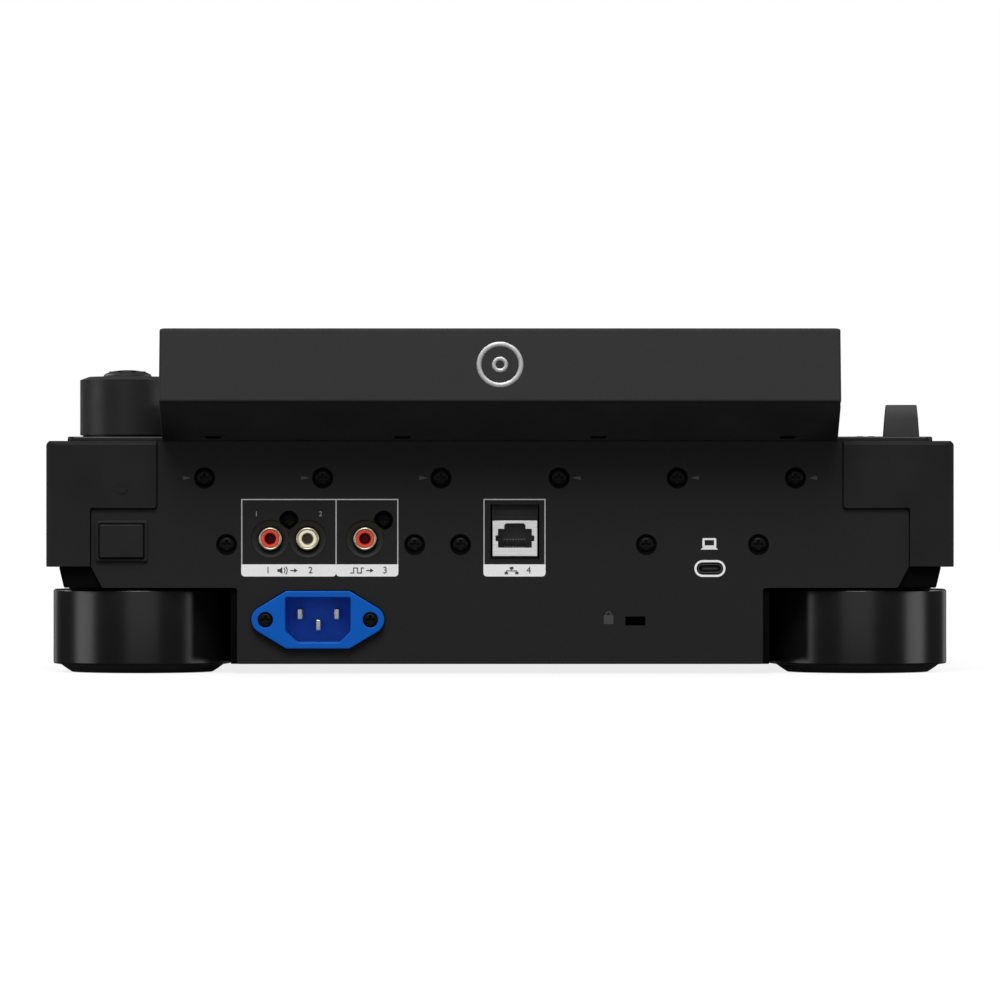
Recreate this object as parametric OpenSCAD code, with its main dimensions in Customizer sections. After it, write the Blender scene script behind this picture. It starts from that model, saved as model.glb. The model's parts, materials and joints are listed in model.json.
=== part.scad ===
// Tabletop jog-dial player: a flat case on four round feet, a large jog dial
// turning on a fixed post, a tilted touch display that overhangs the back, and
// a folded steel panel with the sockets behind.
// +X is the user's right, -Y the user's side, +Z up. The origin is the middle
// of the footprint at table height. All sizes are millimetres.

/* [Case] */
// Width of the upper case
case_w = 329; // [320:1:345]
// Front to back length of the upper case
case_d = 429; // [422:1:440]
// Height of the upper case
case_h = 45.6; // [44:0.2:52]
// Height of the upper case's lower edge above the table
case_z = 38.7; // [38:0.1:41]
// Thickness of the case's walls
wall = 2.5; // [2:0.1:3]
// Thickness of the case's top deck
deck_t = 3; // [2.4:0.1:3.4]
// Radius of the case's upright corners
case_r = 4; // [2:0.5:8]
// Chamfer round the case's upper edge
case_bevel = 1.2; // [0.5:0.1:2]
// Radius of the screw bosses inside the case
boss_r = 4; // [3.5:0.1:4.3]
// Distance from the case's side to the screw bosses
boss_in = 13; // [12.6:0.1:13.6]

/* [Control plate] */
// Thickness of the raised control plate
plate_t = 1.7; // [1.2:0.1:2.2]
// Margin between the case's sides and the control plate
plate_in = 7; // [5:0.5:8]
// Margin between the case's back and the control plate
plate_back = 12.5; // [11:0.5:16]

/* [Chassis] */
// Height of the wide tray's underside above the table
tray_z = 31.1; // [30.6:0.1:33]
// Height of the deep pan's underside above the table
pan_z = 3.5; // [3:0.1:6]
// Gap between the deep pan and a foot
pan_gap = 3.5; // [2:0.1:6]
// Thickness of the chassis sheet
sheet = 2; // [1.5:0.1:2.4]
// How far the tray's upper edge stands in from the case's side
neck_in = 4.7; // [4.2:0.1:5.5]
// How far the tray's sides draw in towards the bottom
neck_draft = 1.8; // [0.5:0.1:2.5]
// How far the tray reaches up inside the case
lip_h = 7; // [4:0.5:9]

/* [Rear panel] */
// Thickness of the rear panel
panel_t = 1.2; // [1:0.1:1.6]
// How far the rear panel's face lies inside the case's back
panel_in = 1.2; // [0.6:0.1:1.6]
// Width of the case's upper corners beside the rear panel
corner_w = 40.5; // [38:0.5:42]
// Width of the case's lower corners beside the rear panel
corner_low_w = 16.5; // [15:0.1:17.5]
// Height above the table where the rear panel steps in
panel_step_z = 59.5; // [58.5:0.5:62]
// Chamfer of the rear panel's lower outer corners
panel_cut = 4; // [2:0.5:6]
// Gap round the rear panel
panel_gap = 0.3; // [0.2:0.05:0.5]
// Distance from the deck's top down to the upper screw row
screw_drop = 13.4; // [10:0.1:16]
// Distance from the panel's edge to the first screw of the upper row
screw_edge = 17; // [10:0.5:25]
// Height of the lower screw row
screw_low_z = 46.8; // [45:0.1:50]
// Radius of a screw's head
screw_head_r = 2.6; // [2.2:0.1:2.8]
// Radius of the dish round a screw
screw_dish_r = 3.5; // [3.2:0.1:4]

/* [Sockets] */
// Distance from the panel's edge to the first audio jack
jack_in = 40.8; // [38:0.1:44]
// Spacing of the paired audio jacks
jack_pitch = 13.5; // [13:0.1:14]
// Height of the audio jacks
jack_z = 48.8; // [47.5:0.1:50]
// Radius of an audio jack's metal sleeve
jack_r = 4.15; // [4:0.05:4.2]
// Radius of the panel's hole round an audio jack
jack_hole_r = 6.9; // [6.2:0.1:7.1]
// Middle of the network socket across the back
lan_x = -5.4; // [-7:0.1:-4]
// Height of the network socket
lan_z = 49; // [48:0.1:50]
// Distance from the panel's edge to the middle of the small data socket
usb_c_in = 48; // [44:0.5:52]
// Height of the small data socket
usb_c_z = 38.1; // [37.4:0.1:39.4]
// Distance from the deep pan's side to the middle of the mains inlet
inlet_in = 29.3; // [27:0.1:34]
// Height of the mains inlet
inlet_z = 19.5; // [18.5:0.1:20.5]
// Spacing of the mains inlet's screws
inlet_pitch = 38; // [37:0.1:40]
// Middle of the lock slot across the back
lock_x = -49; // [-52:0.5:-46]
// Height of the lock slot
lock_z = 19.1; // [18:0.1:21]
// Distance from the panel's edge to the power switch's bezel
power_edge = 1.6; // [1:0.1:3]
// Distance from the panel's step down to the power switch's bezel
power_drop = 4.1; // [3:0.1:6]

/* [Feet] */
// Radius of a foot
foot_r = 32.6; // [30:0.1:34]
// Height of a foot's rubber pad
pad_h = 2.8; // [2:0.1:4]
// Distance from the case's side to a foot's edge
foot_edge_x = 0.6; // [0:0.1:3]
// Distance from the case's ends to a foot's edge
foot_edge_y = 1.4; // [0.5:0.1:6]

/* [Display] */
// How far the display overhangs the case's back
overhang = 24; // [20:0.5:26]
// Distance from the case's side to the display housing
display_in = 42.2; // [41.5:0.1:46]
// Gap between the cue pads and the display housing
display_gap = 18; // [12:0.5:26]
// Height of the display's front edge above the control plate
display_front_h = 3.25; // [3:0.05:5]
// Depth of the display housing at its back
display_t = 27.16; // [26:0.05:28]
// Tilt of the display from the table
tilt = 12; // [10:0.1:13]
// Wall of the display housing
display_wall = 2.4; // [2:0.1:3]
// Dark border between the housing's side and the picture
screen_edge_x = 13.8; // [12:0.1:18]
// Dark border between the housing's ends and the picture
screen_edge_y = 17; // [15.5:0.5:24]

/* [Jog dial] */
// Width of the columns of controls beside the dial
column_w = 61.5; // [60.5:0.5:66]
// Distance from the case's front to the dial
jog_front = 23.5; // [14:0.5:26]
// Height of the dial above the control plate
jog_h = 15.2; // [14:0.1:18]
// Radius of the fixed post that the dial turns on
post_r = 15; // [12:0.5:17]
// Running clearance between the hub and the post
post_fit = 0.05; // [0.03:0.01:0.1]
// Radius of the round display in the dial's middle
eye_r = 32.5; // [30:0.5:34]
// Number of grip teeth round the dial
jog_teeth = 120; // [90:10:140]
// Number of finger dimples round the dial
jog_dimples = 24; // [16:2:30]
// Number of slots in the encoder disc
disc_slots = 72; // [48:12:84]

/* [Keys] */
// Travel of a key
key_travel = 1.2; // [0.8:0.1:1.3]
// How far a key's cap stands above the control plate
key_rise = 1.8; // [1.5:0.1:3]
// Gap round a key's cap
key_gap = 0.35; // [0.3:0.05:0.5]
// Gap between hot cue pads
cue_pad_gap = 4; // [3:0.5:8]
// Length of a hot cue pad
cue_pad_d = 13; // [11:0.5:14]
// Distance from the dial to the middle of the hot cue pads
cue_row = 27; // [24:0.5:30]
// Radius of the play and cue buttons
play_r = 20; // [17:0.5:20.5]

/* [Knobs and levers] */
// Radius of the selector knob
knob_r = 18; // [16:0.5:18.5]
// Height of the selector knob's cap above the control plate
knob_h = 24; // [20:0.5:28]
// Radius of the selector's shaft
shaft_r = 3; // [2.8:0.1:3.3]
// Push travel of the selector
knob_travel = 1; // [0.6:0.1:1.2]
// Radius of the jog adjust knob
trim_r = 8; // [7:0.5:9]
// Width of the direction lever at the plate
lever_w = 13.5; // [12:0.5:14]
// Height of the direction lever above the plate
lever_h = 12.4; // [10:0.1:14]
// Swing of the direction lever each way
lever_swing = 14; // [10:1:15]
// Travel of the tempo slider each way from the middle
fader_travel = 50; // [45:1:52]
// Width of the tempo slider's cap
fader_cap_w = 22; // [18:0.5:24]

/* [Hidden] */

$fn = 64;
over = 1;          // how far a cut runs past a face
seat = 0.3;        // gap between a moving piece and its seat at rest
snug = 0.3;        // gap round a fixed piece in its opening
panel_fillet = 1.2; // rounding of the rear panel's inner corners

// Case
deck_z = case_z + case_h;
front_y = -(case_d + overhang) / 2;
rear_y = front_y + case_d;
side_x = case_w / 2;
under_z = deck_z - deck_t;                      // underside of the deck
plate_z = deck_z + plate_t;                     // top of the control plate
panel_y = rear_y - panel_in;                    // outer face of the rear panel
panel_back_y = panel_y - panel_t;               // inner face of the rear panel
skirt_z = jack_z + 14.5;                        // lower edge of the skirt behind the panel
panel_top_x = side_x - corner_w;                // half width of the panel's upper part
panel_wide_x = side_x - corner_low_w;           // half width of the panel's wide part
pan_w = case_w - 2 * (2 * foot_r + foot_edge_x + pan_gap);
pan_clear = 1.1;     // gap between the pan's side and a foot
pan_x = pan_w / 2 + pan_gap - pan_clear;
pan_front_y = front_y + 46;
floor_z = tray_z + sheet;                       // top of the wide tray's floor
boss_bore = 1.25;

// Columns of controls left and right of the dial
left_x = -(side_x - 32.5);
right_x = side_x - 27.5;
jog_r = side_x - column_w;
jog_y = front_y + jog_front + jog_r;

// Keys: [x, y, width, length, corner radius]
key_lip = 1.6;
key_flange_t = 1.6;
key_flange_z = deck_z - 0.2 - key_flange_t;
key_board_z = deck_z - 8.3;                     // top of the key board
key_board_t = 1.6;
key_board_back = 20;                            // behind the cue pads' row
key_tail_front = 18;                            // behind the slider
key_tail_back = 10;                             // behind the trim pot
key_post_in = 59.5;
switch_h = 2.4;
stem_z = key_board_z + switch_h + key_travel + seat;
cue_y = jog_y + jog_r + cue_row;
key_post_y = [front_y + 22, cue_y + 14.5];
cue_count = 8;
display_w = case_w - 2 * display_in;
cue_pad_pitch = (display_w - 4.6) / cue_count;
cue_pad_w = cue_pad_pitch - cue_pad_gap;
cue_pads = [for (i = [0:cue_count - 1])
    [(i - (cue_count - 1) / 2) * cue_pad_pitch, cue_y, cue_pad_w, cue_pad_d, 1.6]];
loop_row = cue_y - 22.5;
loop_key = [18, 10, 1.5];
loop_pitch = 26;
loop_in = concat([left_x - loop_pitch / 2, loop_row], loop_key);
loop_out = concat([left_x + loop_pitch / 2, loop_row], loop_key);
loop_exit = concat([left_x, loop_row - 17], loop_key);
sync_key_size = [15, 10, 1.5];
sync = concat([right_x - 9, cue_y - 25], sync_key_size);
master = concat([right_x + 9, cue_y - 25], sync_key_size);
lever_in = 100;                                 // from the cue pads back to the lever
lever_y = cue_y + lever_in;
lever_boss_gap = 22.5;                          // from the lever to the boss behind it
boss_y = [front_y + neck_in + sheet + snug + boss_r, jog_y + 81.5, lever_y + lever_boss_gap,
    rear_y - 14.5];
small_key = [3.2, 9, 0.8];
small_key_rise = 0.7;
slip = concat([left_x - 6.3, lever_y], small_key);
quantize = concat([left_x - 2.2, lever_y], small_key);
push_keys = concat(cue_pads, [loop_in, loop_out, loop_exit, sync, master, slip, quantize]);
rocker_key = [34, 11, 2];
play_pos = [left_x, front_y + 31.5];
cue_pos = [left_x, play_pos[1] + 48];
search = concat([left_x, cue_pos[1] + 43.5], rocker_key);
track = concat([left_x, search[1] + 23], rocker_key);
rockers = [track, search];
rocker_pin_r = 1.2;
rocker_pin_z = deck_z - 4.3;
rocker_swing = 3;

// Knobs, lever and slider
trim_pos = [right_x, cue_y + 5.5];
knob_gap = 1.2;                                 // between the display housing and the selector knob
knob_pos = [display_w / 2 + knob_r + knob_gap, trim_pos[1] + 52];
lever_pos = [-(side_x - 14.8), lever_y];
lever_axis_z = deck_z - 8;
lever_t = 8;
fader_in = 116.5;
fader_pos = [right_x, front_y + fader_in];         // middle of the slider's travel
fader_w = 18;
fader_h = 12;
fader_wall = 1.5;
fader_slot = 3.4;
stem_w = 2.6;
stem_d = 5;
carriage_d = 12;
fader_rise = 2.5;                               // gap under the slider's cap
usb_a_pos = [left_x - 8, cue_y + 60];
usb_a_w = 13.2;
usb_a_d = 5.8;

// Display, in its own frame: origin at the rear top edge, -Y down the slope
display_x = display_w / 2;
display_y = rear_y + overhang - display_t * sin(tilt);
display_l = (display_y - cue_y - cue_pad_d / 2 - display_gap) / cos(tilt);
display_top_z = plate_z + display_front_h + display_l * sin(tilt);
screen_w = display_w - 2 * screen_edge_x;
screen_l = display_l - 2 * screen_edge_y;
glass_t = 1.5;
glass_ledge = 0.6;
lcd_t = 2.4;
cable_pos = [35, rear_y - 40];                  // hole for the display's cable
cable_r = 6;
base_front_y = rear_y - plate_back + snug;

// Dial
jog_z = plate_z + jog_h;                        // top of the dial's metal plate
jog_plate_t = 2.2;
hub_flange_t = 2;
hub_r = post_r + 7;
hub_low_z = under_z + 0.9;
hub_top_z = jog_z - jog_plate_t;
post_z = hub_top_z + 0.2;
jog_well_r = jog_r + 3;
jog_base_r = jog_r + 9;
jog_base_t = 2;
disc_z = hub_low_z + 1;
disc_t = 0.6;
disc_r = 70;
rim_in_r = jog_r - 23;
rim_skirt_t = 5;

// Feet
foot_top_z = tray_z - 1.1;
foot_x = side_x - foot_r - foot_edge_x;
foot_in_y = foot_r + foot_edge_y;
foot_places = [
    [foot_x, rear_y - foot_in_y], [-foot_x, rear_y - foot_in_y],
    [foot_x, front_y + foot_in_y], [-foot_x, front_y + foot_in_y]
];
foot_screw_r = 2;
foot_screw_head_r = 4.5;
foot_hollow_z = foot_top_z - 8;

// Rear panel
screw_pitch = 2 * (panel_top_x - screw_edge) / 5;
screw_x = [for (i = [-2.5:1:2.5]) i * screw_pitch];
screw_top_z = deck_z - screw_drop;
screw_low_x = [panel_top_x - 25, 30.9, 14.3, lock_x - 4, 30.4 - panel_top_x];
screw_r = 1.4;
screw_l = 5;
dish_t = 0.6;
jack_x = [panel_top_x - jack_in, panel_top_x - jack_in - jack_pitch,
    panel_top_x - jack_in - jack_pitch - 20.8];
jack_screw_x = [jack_x[0] - jack_pitch / 2, jack_x[2] - jack_pitch / 2];
jack_screw_z = jack_z + 6.8;
jack_depth = 16;
jack_face = 1.6;                                // from the panel's back to the jack bodies
jack_collar_r = 6.2;
jack_boss_z = jack_z + 5.1;                     // underside of a jack screw's boss
jack_boss_lap = 0.6;
jack_head_in = 2.4;                             // from the panel's back to a jack screw's seat
inlet_x = pan_w / 2 - inlet_in;
inlet_w = 23.6;
inlet_h = 16.2;
inlet_wall = 1.6;
inlet_depth = 18;
inlet_flange_t = 2.4;
inlet_cut = 4;
lan_w = 16.2;
lan_h = 12.9;
lan_depth = 21;
lan_hole = [17.7, 19.9];
lan_hole_z = lan_z + 2.4;
lan_mouth = [12.2, 6.8];
usb_c_x = usb_c_in - panel_top_x;
usb_c_w = 8.9;
usb_c_h = 3.3;
usb_c_depth = 9;
lock_w = 7.2;
lock_h = 3.3;
power_w = 18.8;
power_h = 14.8;
power_x = panel_wide_x - power_edge - power_w / 2;
power_z = panel_step_z - power_drop - power_h / 2;
power_key_w = 15.8;
power_key_h = 12;
power_body = [8.8, 6.9];                        // half width and height of the switch's body
power_travel = 1.5;

// Boards
board_t = 1.6;
main_z = usb_c_z - usb_c_h / 2 - board_t;        // underside of the main board
main_w = pan_w - 6.4;
main_d = 132;
psu_z = pan_z + sheet + 4;
main_post_x = main_w / 2 - 6;
psu_x = [main_post_x - 88, main_post_x - 4];
psu_in = 34;
psu_d = 116;
psu_y = [rear_y - psu_in - psu_d, rear_y - psu_in];
main_post_in = 12;
main_post_gap = 20;
main_post_y = [rear_y - main_post_in, rear_y - main_post_in - main_d + main_post_gap];

// Outline points
function arc(x, y, r, from, n) = [for (i = [0:n]) [x + r * cos(from + 90 * i / n), y +
    r * sin(from + 90 * i / n)]];
function round_rect(w, d, r, n = 5) = concat(
    arc(w / 2 - r, d / 2 - r, r, 0, n), arc(r - w / 2, d / 2 - r, r, 90, n),
    arc(r - w / 2, r - d / 2, r, 180, n), arc(w / 2 - r, r - d / 2, r, 270, n));
function stadium(w, h, n = 8) = concat(
    [for (i = [0:n]) [w / 2 - h / 2 + h / 2 * cos(180 * i / n - 90), h / 2 * sin(180 * i / n - 90)]],
    [for (i = [0:n]) [h / 2 - w / 2 + h / 2 * cos(180 * i / n + 90), h / 2 * sin(180 * i / n + 90)]]);

// A box between two corners
module box(low, high) {
    translate(low) cube(high - low);
}

// An upright rounded slab standing on z = 0
module slab(w, d, h, r) {
    linear_extrude(h) polygon(round_rect(w, d, r));
}

// A rounded slab with its upper edge chamfered by c
module bevelled(w, d, h, r, c) {
    intersection() {
        slab(w, d, h, r);
        translate([0, d / 2, 0]) rotate([90, 0, 0]) linear_extrude(d)
            polygon([[-w / 2, 0], [w / 2, 0], [w / 2, h - c], [w / 2 - c, h], [c - w / 2, h],
                [-w / 2, h - c]]);
        translate([-w / 2, 0, 0]) rotate([90, 0, 90]) linear_extrude(w)
            polygon([[-d / 2, 0], [d / 2, 0], [d / 2, h - c], [d / 2 - c, h], [c - d / 2, h],
                [-d / 2, h - c]]);
    }
}

// What is drawn as (x, z) stands at the back, reaching forward from y by depth
module from_back(y, depth) {
    translate([0, y, 0]) rotate([90, 0, 0]) linear_extrude(depth) children();
}

// A rod along Y, reaching forward from y by depth
module rod_back(x, y, z, r, depth) {
    translate([x, y, z]) rotate([90, 0, 0]) cylinder(r = r, h = depth);
}

// The display's own frame
module on_display() {
    translate([0, display_y, display_top_z]) rotate([tilt, 0, 0]) children();
}

// Openings for every control, drawn from z by h, with the gap wider all round
module control_cuts(z, h, gap, lip) {
    for (k = push_keys) translate([k[0], k[1], z]) slab(k[2] + 2 * gap, k[3] + 2 * (gap + lip), h,
        k[4] + gap);
    for (k = rockers) translate([k[0], k[1], z]) slab(k[2] + 2 * gap, k[3] + 2 * gap, h, k[4] + gap);
    for (p = [play_pos, cue_pos]) translate([p[0], p[1], z]) cylinder(r = play_r + gap + lip, h = h);
    translate([fader_pos[0], fader_pos[1], z])
        slab(stem_w + 2 * gap, 2 * fader_travel + stem_d + 4, h, 1);
    translate([lever_pos[0], lever_pos[1], z])
        slab(lever_w + 2 * gap, lever_t + 2 * (plate_z - lever_axis_z) * tan(lever_swing) + 1.4, h, 1);
    translate([usb_a_pos[0], usb_a_pos[1], z]) slab(usb_a_w + 2 * snug, usb_a_d + 2 * snug, h, 0.6);
    translate([knob_pos[0], knob_pos[1], z]) cylinder(r = 4.8, h = h);
    translate([trim_pos[0], trim_pos[1], z]) cylinder(r = 3.8, h = h);
    translate([cable_pos[0], cable_pos[1], z]) cylinder(r = cable_r, h = h);
}

// Outline of the rear panel, grown by g
module panel_outline(g) {
    offset(r = -panel_fillet) offset(delta = g + panel_fillet) polygon([
        [panel_top_x, deck_z], [panel_top_x, panel_step_z], [panel_wide_x, panel_step_z],
        [panel_wide_x, tray_z + panel_cut * 1.9], [panel_wide_x - panel_cut, tray_z],
        [pan_w / 2, tray_z], [pan_w / 2, pan_z], [-pan_w / 2, pan_z], [-pan_w / 2, tray_z],
        [panel_cut - panel_wide_x, tray_z], [-panel_wide_x, tray_z + panel_cut * 1.9],
        [-panel_wide_x, panel_step_z], [-panel_top_x, panel_step_z], [-panel_top_x, deck_z]
    ]);
}

// Outline of the mains inlet's flange
module inlet_outline() {
    hull() {
        square([inlet_w, 21.6], center = true);
        for (s = [-1, 1]) translate([s * inlet_pitch / 2, 0]) circle(r = 5.4);
    }
}

// Outline of the mains inlet's cavity, its lower corners cut
module inlet_cavity(g) {
    offset(delta = g) polygon([
        [-inlet_w / 2, inlet_h / 2], [-inlet_w / 2, inlet_cut - inlet_h / 2],
        [inlet_cut - inlet_w / 2, -inlet_h / 2], [inlet_w / 2 - inlet_cut, -inlet_h / 2],
        [inlet_w / 2, inlet_cut - inlet_h / 2], [inlet_w / 2, inlet_h / 2]
    ]);
}

// Pressed tray: a wide upper part and a deep pan along the middle
module bottom_chassis() {
    top = case_z + lip_h;
    tray_x = side_x - neck_in;
    lip_y = rear_y - panel_in - panel_t - wall - snug;
    color("#161616") {
        difference() {
            union() {
                intersection() {
                    from_back(rear_y, case_d) tray_section(top);
                    box([-side_x, front_y + neck_in, 0], [side_x, panel_back_y - sheet, top]);
                    union() {
                        box([-side_x, front_y, 0], [side_x, rear_y, case_z]);
                        box([-side_x, front_y, case_z], [side_x, lip_y, top]);
                    }
                }
                box([-pan_x, pan_front_y, pan_z], [pan_x, panel_back_y - sheet, tray_z + over]);
            }
            box([neck_draft + sheet - tray_x, front_y + neck_in + sheet, floor_z],
                [tray_x - neck_draft - sheet, rear_y, top + over]);
            box([sheet - pan_x, pan_front_y + sheet, pan_z + sheet],
                [pan_x - sheet, rear_y, top + over]);
            for (p = foot_places) translate([p[0], p[1], tray_z - over])
                cylinder(r = foot_screw_r + 0.1, h = 5);
            for (s = [-1, 1], y = boss_y) translate([s * (side_x - boss_in), y, tray_z - over])
                cylinder(r = 1.7, h = 5);
        }
        difference() {
            from_back(panel_back_y, sheet) {
                intersection() {
                    panel_outline(-1.2);
                    translate([-side_x, 0]) square([case_w, skirt_z - 2]);
                }
                intersection() {
                    tray_section(top);
                    translate([-side_x, 0]) square([case_w, case_z]);
                }
                translate([-pan_x, pan_z]) square([2 * pan_x, tray_z - pan_z + over]);
            }
            rear_windows();
            for (x = screw_low_x) rod_back(x, panel_back_y + over, screw_low_z, screw_r + 0.1, sheet +
                2 * over);
            for (s = [-1, 1])
                rod_back(inlet_x + s * inlet_pitch / 2, panel_back_y + over, inlet_z, screw_r + 0.1,
                    sheet + 2 * over);
        }
        for (x = [-main_post_x, main_post_x], y = main_post_y)
            box([x - 3, y - 3, pan_z + sheet], [x + 3, y + 3, main_z]);
        for (x = [psu_x[0] + 5, psu_x[1] - 5], y = [psu_y[0] + 5, psu_y[1] - 5])
            translate([x, y, pan_z + sheet]) cylinder(r = 3, h = psu_z - pan_z - sheet);
    }
}

// Cross-section of the chassis's tray
module tray_section(top) {
    x = side_x - neck_in;
    polygon([
        [neck_draft - x, tray_z], [x - neck_draft, tray_z],
        [x, case_z], [x, top], [-x, top], [-x, case_z]
    ]);
}

// Windows in the chassis's back wall behind each socket
module rear_windows() {
    y = panel_back_y;
    module window(x0, x1, z0, z1) box([x0, y - sheet - over, z0], [x1, y + over, z1]);
    window(jack_x[2] - 11, jack_x[0] + 9.5, main_z, jack_z + 14);
    window(lan_x - lan_hole[0] / 2 - 1, lan_x + lan_hole[0] / 2 + 1, main_z - 1, lan_z + 14);
    window(usb_c_x - 7, usb_c_x + 7, usb_c_z - 4, usb_c_z + 4);
    window(inlet_x - 15, inlet_x + 15, inlet_z - 11, inlet_z + 11);
    window(lock_x - lock_w, lock_x + lock_w, lock_z - lock_h, lock_z + lock_h);
    window(power_x - power_body[0] - 0.5, power_x + power_body[0] + 0.5,
        power_z - power_body[1] - 0.5, power_z + power_body[1] + 0.5);
}

// Steel panel with dished screw holes and a cut-out for each socket
module rear_panel() {
    color("#1c1c1d") difference() {
        from_back(panel_y, panel_t) offset(r = 1) offset(delta = -1) panel_outline(0);
        for (x = screw_x) screw_dish(x, screw_top_z);
        for (x = screw_low_x) screw_dish(x, screw_low_z);
        for (x = jack_x) rod_back(x, rear_y, jack_z, jack_hole_r, 5);
        for (x = jack_screw_x) rod_back(x, rear_y, jack_screw_z, screw_dish_r, 5);
        box([lan_x - lan_hole[0] / 2, panel_y - 5, lan_hole_z - lan_hole[1] / 2],
            [lan_x + lan_hole[0] / 2, rear_y, lan_hole_z + lan_hole[1] / 2]);
        translate([usb_c_x, 0, usb_c_z]) from_back(rear_y, 5)
            polygon(stadium(usb_c_w + 0.4, usb_c_h + 0.4));
        box([lock_x - lock_w / 2, panel_y - 5, lock_z - lock_h / 2],
            [lock_x + lock_w / 2, rear_y, lock_z + lock_h / 2]);
        translate([inlet_x, 0, inlet_z]) from_back(rear_y, 5) inlet_cavity(inlet_wall + snug);
        for (s = [-1, 1]) rod_back(inlet_x + s * inlet_pitch / 2, rear_y, inlet_z, screw_r + 0.1, 5);
        box([power_x - power_body[0] - 0.2, panel_y - 5, power_z - power_body[1] - 0.2],
            [power_x + power_body[0] + 0.2, rear_y, power_z + power_body[1] + 0.2]);
    }
}

// One dished screw hole of the rear panel
module screw_dish(x, z) {
    rod_back(x, rear_y, z, screw_r + 0.1, panel_in + panel_t + over);
    rod_back(x, rear_y, z, screw_dish_r, panel_in + dish_t);
}

// Moulded shell: deck, four walls, and a skirt that the rear panel lies on
module upper_case() {
    back = panel_in + panel_t + wall;
    color("#202021") difference() {
        union() {
            difference() {
                translate([0, front_y + case_d / 2, case_z]) bevelled(case_w, case_d, case_h, case_r,
                    case_bevel);
                box([wall - side_x, front_y + wall, case_z - over], [side_x - wall, rear_y - back,
                    under_z]);
            }
            for (s = [-1, 1], y = boss_y) translate([s * (side_x - boss_in), y, floor_z])
                cylinder(r = boss_r, h = under_z - floor_z + over);
            for (s = [-1, 1], y = key_post_y)
                translate([s * (side_x - key_post_in), y, key_board_z])
                cylinder(r = 3, h = under_z - key_board_z + over);
        }
        from_back(rear_y + over, panel_in + panel_t + over) panel_outline(panel_gap);
        box([-panel_top_x - panel_gap, panel_back_y, deck_z - over], [panel_top_x + panel_gap, rear_y +
            over, deck_z + over]);
        box([-panel_top_x, rear_y - back - over, case_z - over], [panel_top_x, rear_y + over, skirt_z]);
        box([-panel_wide_x, rear_y - back - over, case_z - over],
            [panel_wide_x, rear_y + over, panel_step_z - 1]);
        for (s = [-1, 1], y = boss_y) translate([s * (side_x - boss_in), y, floor_z - over])
            cylinder(r = boss_bore, h = 14);
        for (x = screw_x) rod_back(x, rear_y, screw_top_z, screw_r + 0.1, 12);
        translate([0, jog_y, under_z - over]) cylinder(r = jog_well_r, h = deck_t + 2 * over);
        control_cuts(under_z - over, deck_t + 2 * over, key_gap + 0.3, key_lip);
        translate([play_pos[0], play_pos[1], under_z - over]) cylinder(r = play_r + key_lip + key_gap,
            h = deck_t + 2 * over);
    }
}

// Raised metal plate that frames the dial and the keys
module control_plate() {
    w = 2 * (side_x - plate_in);
    d = case_d - plate_in - plate_back;
    color("#1b1b1c") difference() {
        translate([0, front_y + plate_in + d / 2, deck_z]) bevelled(w, d, plate_t, 3, 0.4);
        translate([0, jog_y, deck_z - over]) cylinder(r = jog_r + 1, h = plate_t + 2 * over);
        control_cuts(deck_z - over, plate_t + 2 * over, key_gap, 0);
    }
}

// Four round feet, each with a collar under the tray and a hollow for its screw
module feet() {
    color("#0b0b0c") for (p = foot_places) translate([p[0], p[1], 0]) difference() {
        union() {
            rotate_extrude() polygon([
                [0, pad_h], [foot_r - 2.4, pad_h], [foot_r - 0.6, pad_h + 0.9], [foot_r, pad_h + 2.4],
                [foot_r, foot_top_z - 1], [foot_r - 1, foot_top_z], [0, foot_top_z]
            ]);
            translate([0, 0, foot_top_z - over]) cylinder(r = foot_r - 7, h = tray_z - foot_top_z +
                over);
        }
        translate([0, 0, pad_h - over]) cylinder(r = 8, h = foot_hollow_z - pad_h + over);
        translate([0, 0, foot_hollow_z - over]) cylinder(r = foot_screw_r + 0.1, h = 12);
    }
}

// Rubber rings under the feet
module foot_pads() {
    color("#050505") for (p = foot_places) translate([p[0], p[1], 0]) difference() {
        rotate_extrude() polygon([[0, 0], [foot_r - 6.4, 0], [foot_r - 2.7, pad_h], [0, pad_h]]);
        translate([0, 0, -over]) cylinder(r = 10, h = pad_h + 2 * over);
    }
}

// Wedge between the deck and the display housing, with four tab slots
module display_base() {
    x = display_x;
    slope = tan(tilt);
    back_z = display_top_z - display_t * cos(tilt);
    back_y = rear_y + overhang;
    color("#0e0e0f") difference() {
        translate([-x, 0, 0]) rotate([90, 0, 90]) linear_extrude(2 * x) polygon([
            [base_front_y, deck_z], [rear_y - 0.2, deck_z],
            [back_y - 1.4, back_z - 1.4 * slope],
            [base_front_y, back_z - (back_y - base_front_y) * slope]
        ]);
        for (s = [-1, 1], t = [0.29, 0.85]) box([s * t * x - 2.9, rear_y - 2, deck_z + 0.8],
            [s * t * x + 2.9, rear_y + 4, deck_z + 1.7]);
    }
}

// Outer solid of the display housing, down to the control plate
module housing_solid(g) {
    intersection() {
        on_display() box([g - display_x, g - display_l, g - display_t], [display_x - g, -g, 0]);
        box([-side_x, front_y, plate_z + (g > 0 ? display_wall : 0)], [side_x, rear_y + 2 * overhang,
            display_top_z + 9]);
    }
}

// Tray-shaped shell that holds the display
module display_housing() {
    lid = glass_t + glass_ledge;
    color("#303031") difference() {
        housing_solid(0);
        difference() {
            housing_solid(display_wall);
            for (x = [-screen_w / 3, 0, screen_w / 3]) on_display()
                box([x - 1, -display_l, -display_t], [x + 1, 0, -lid - lcd_t]);
        }
        on_display() box([1.2 - display_x, 1.2 - display_l, -lid], [display_x - 1.2, -1.2, over]);
        translate([cable_pos[0], cable_pos[1], plate_z - over])
            cylinder(r = cable_r, h = display_wall + 2 * over);
    }
}

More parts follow.
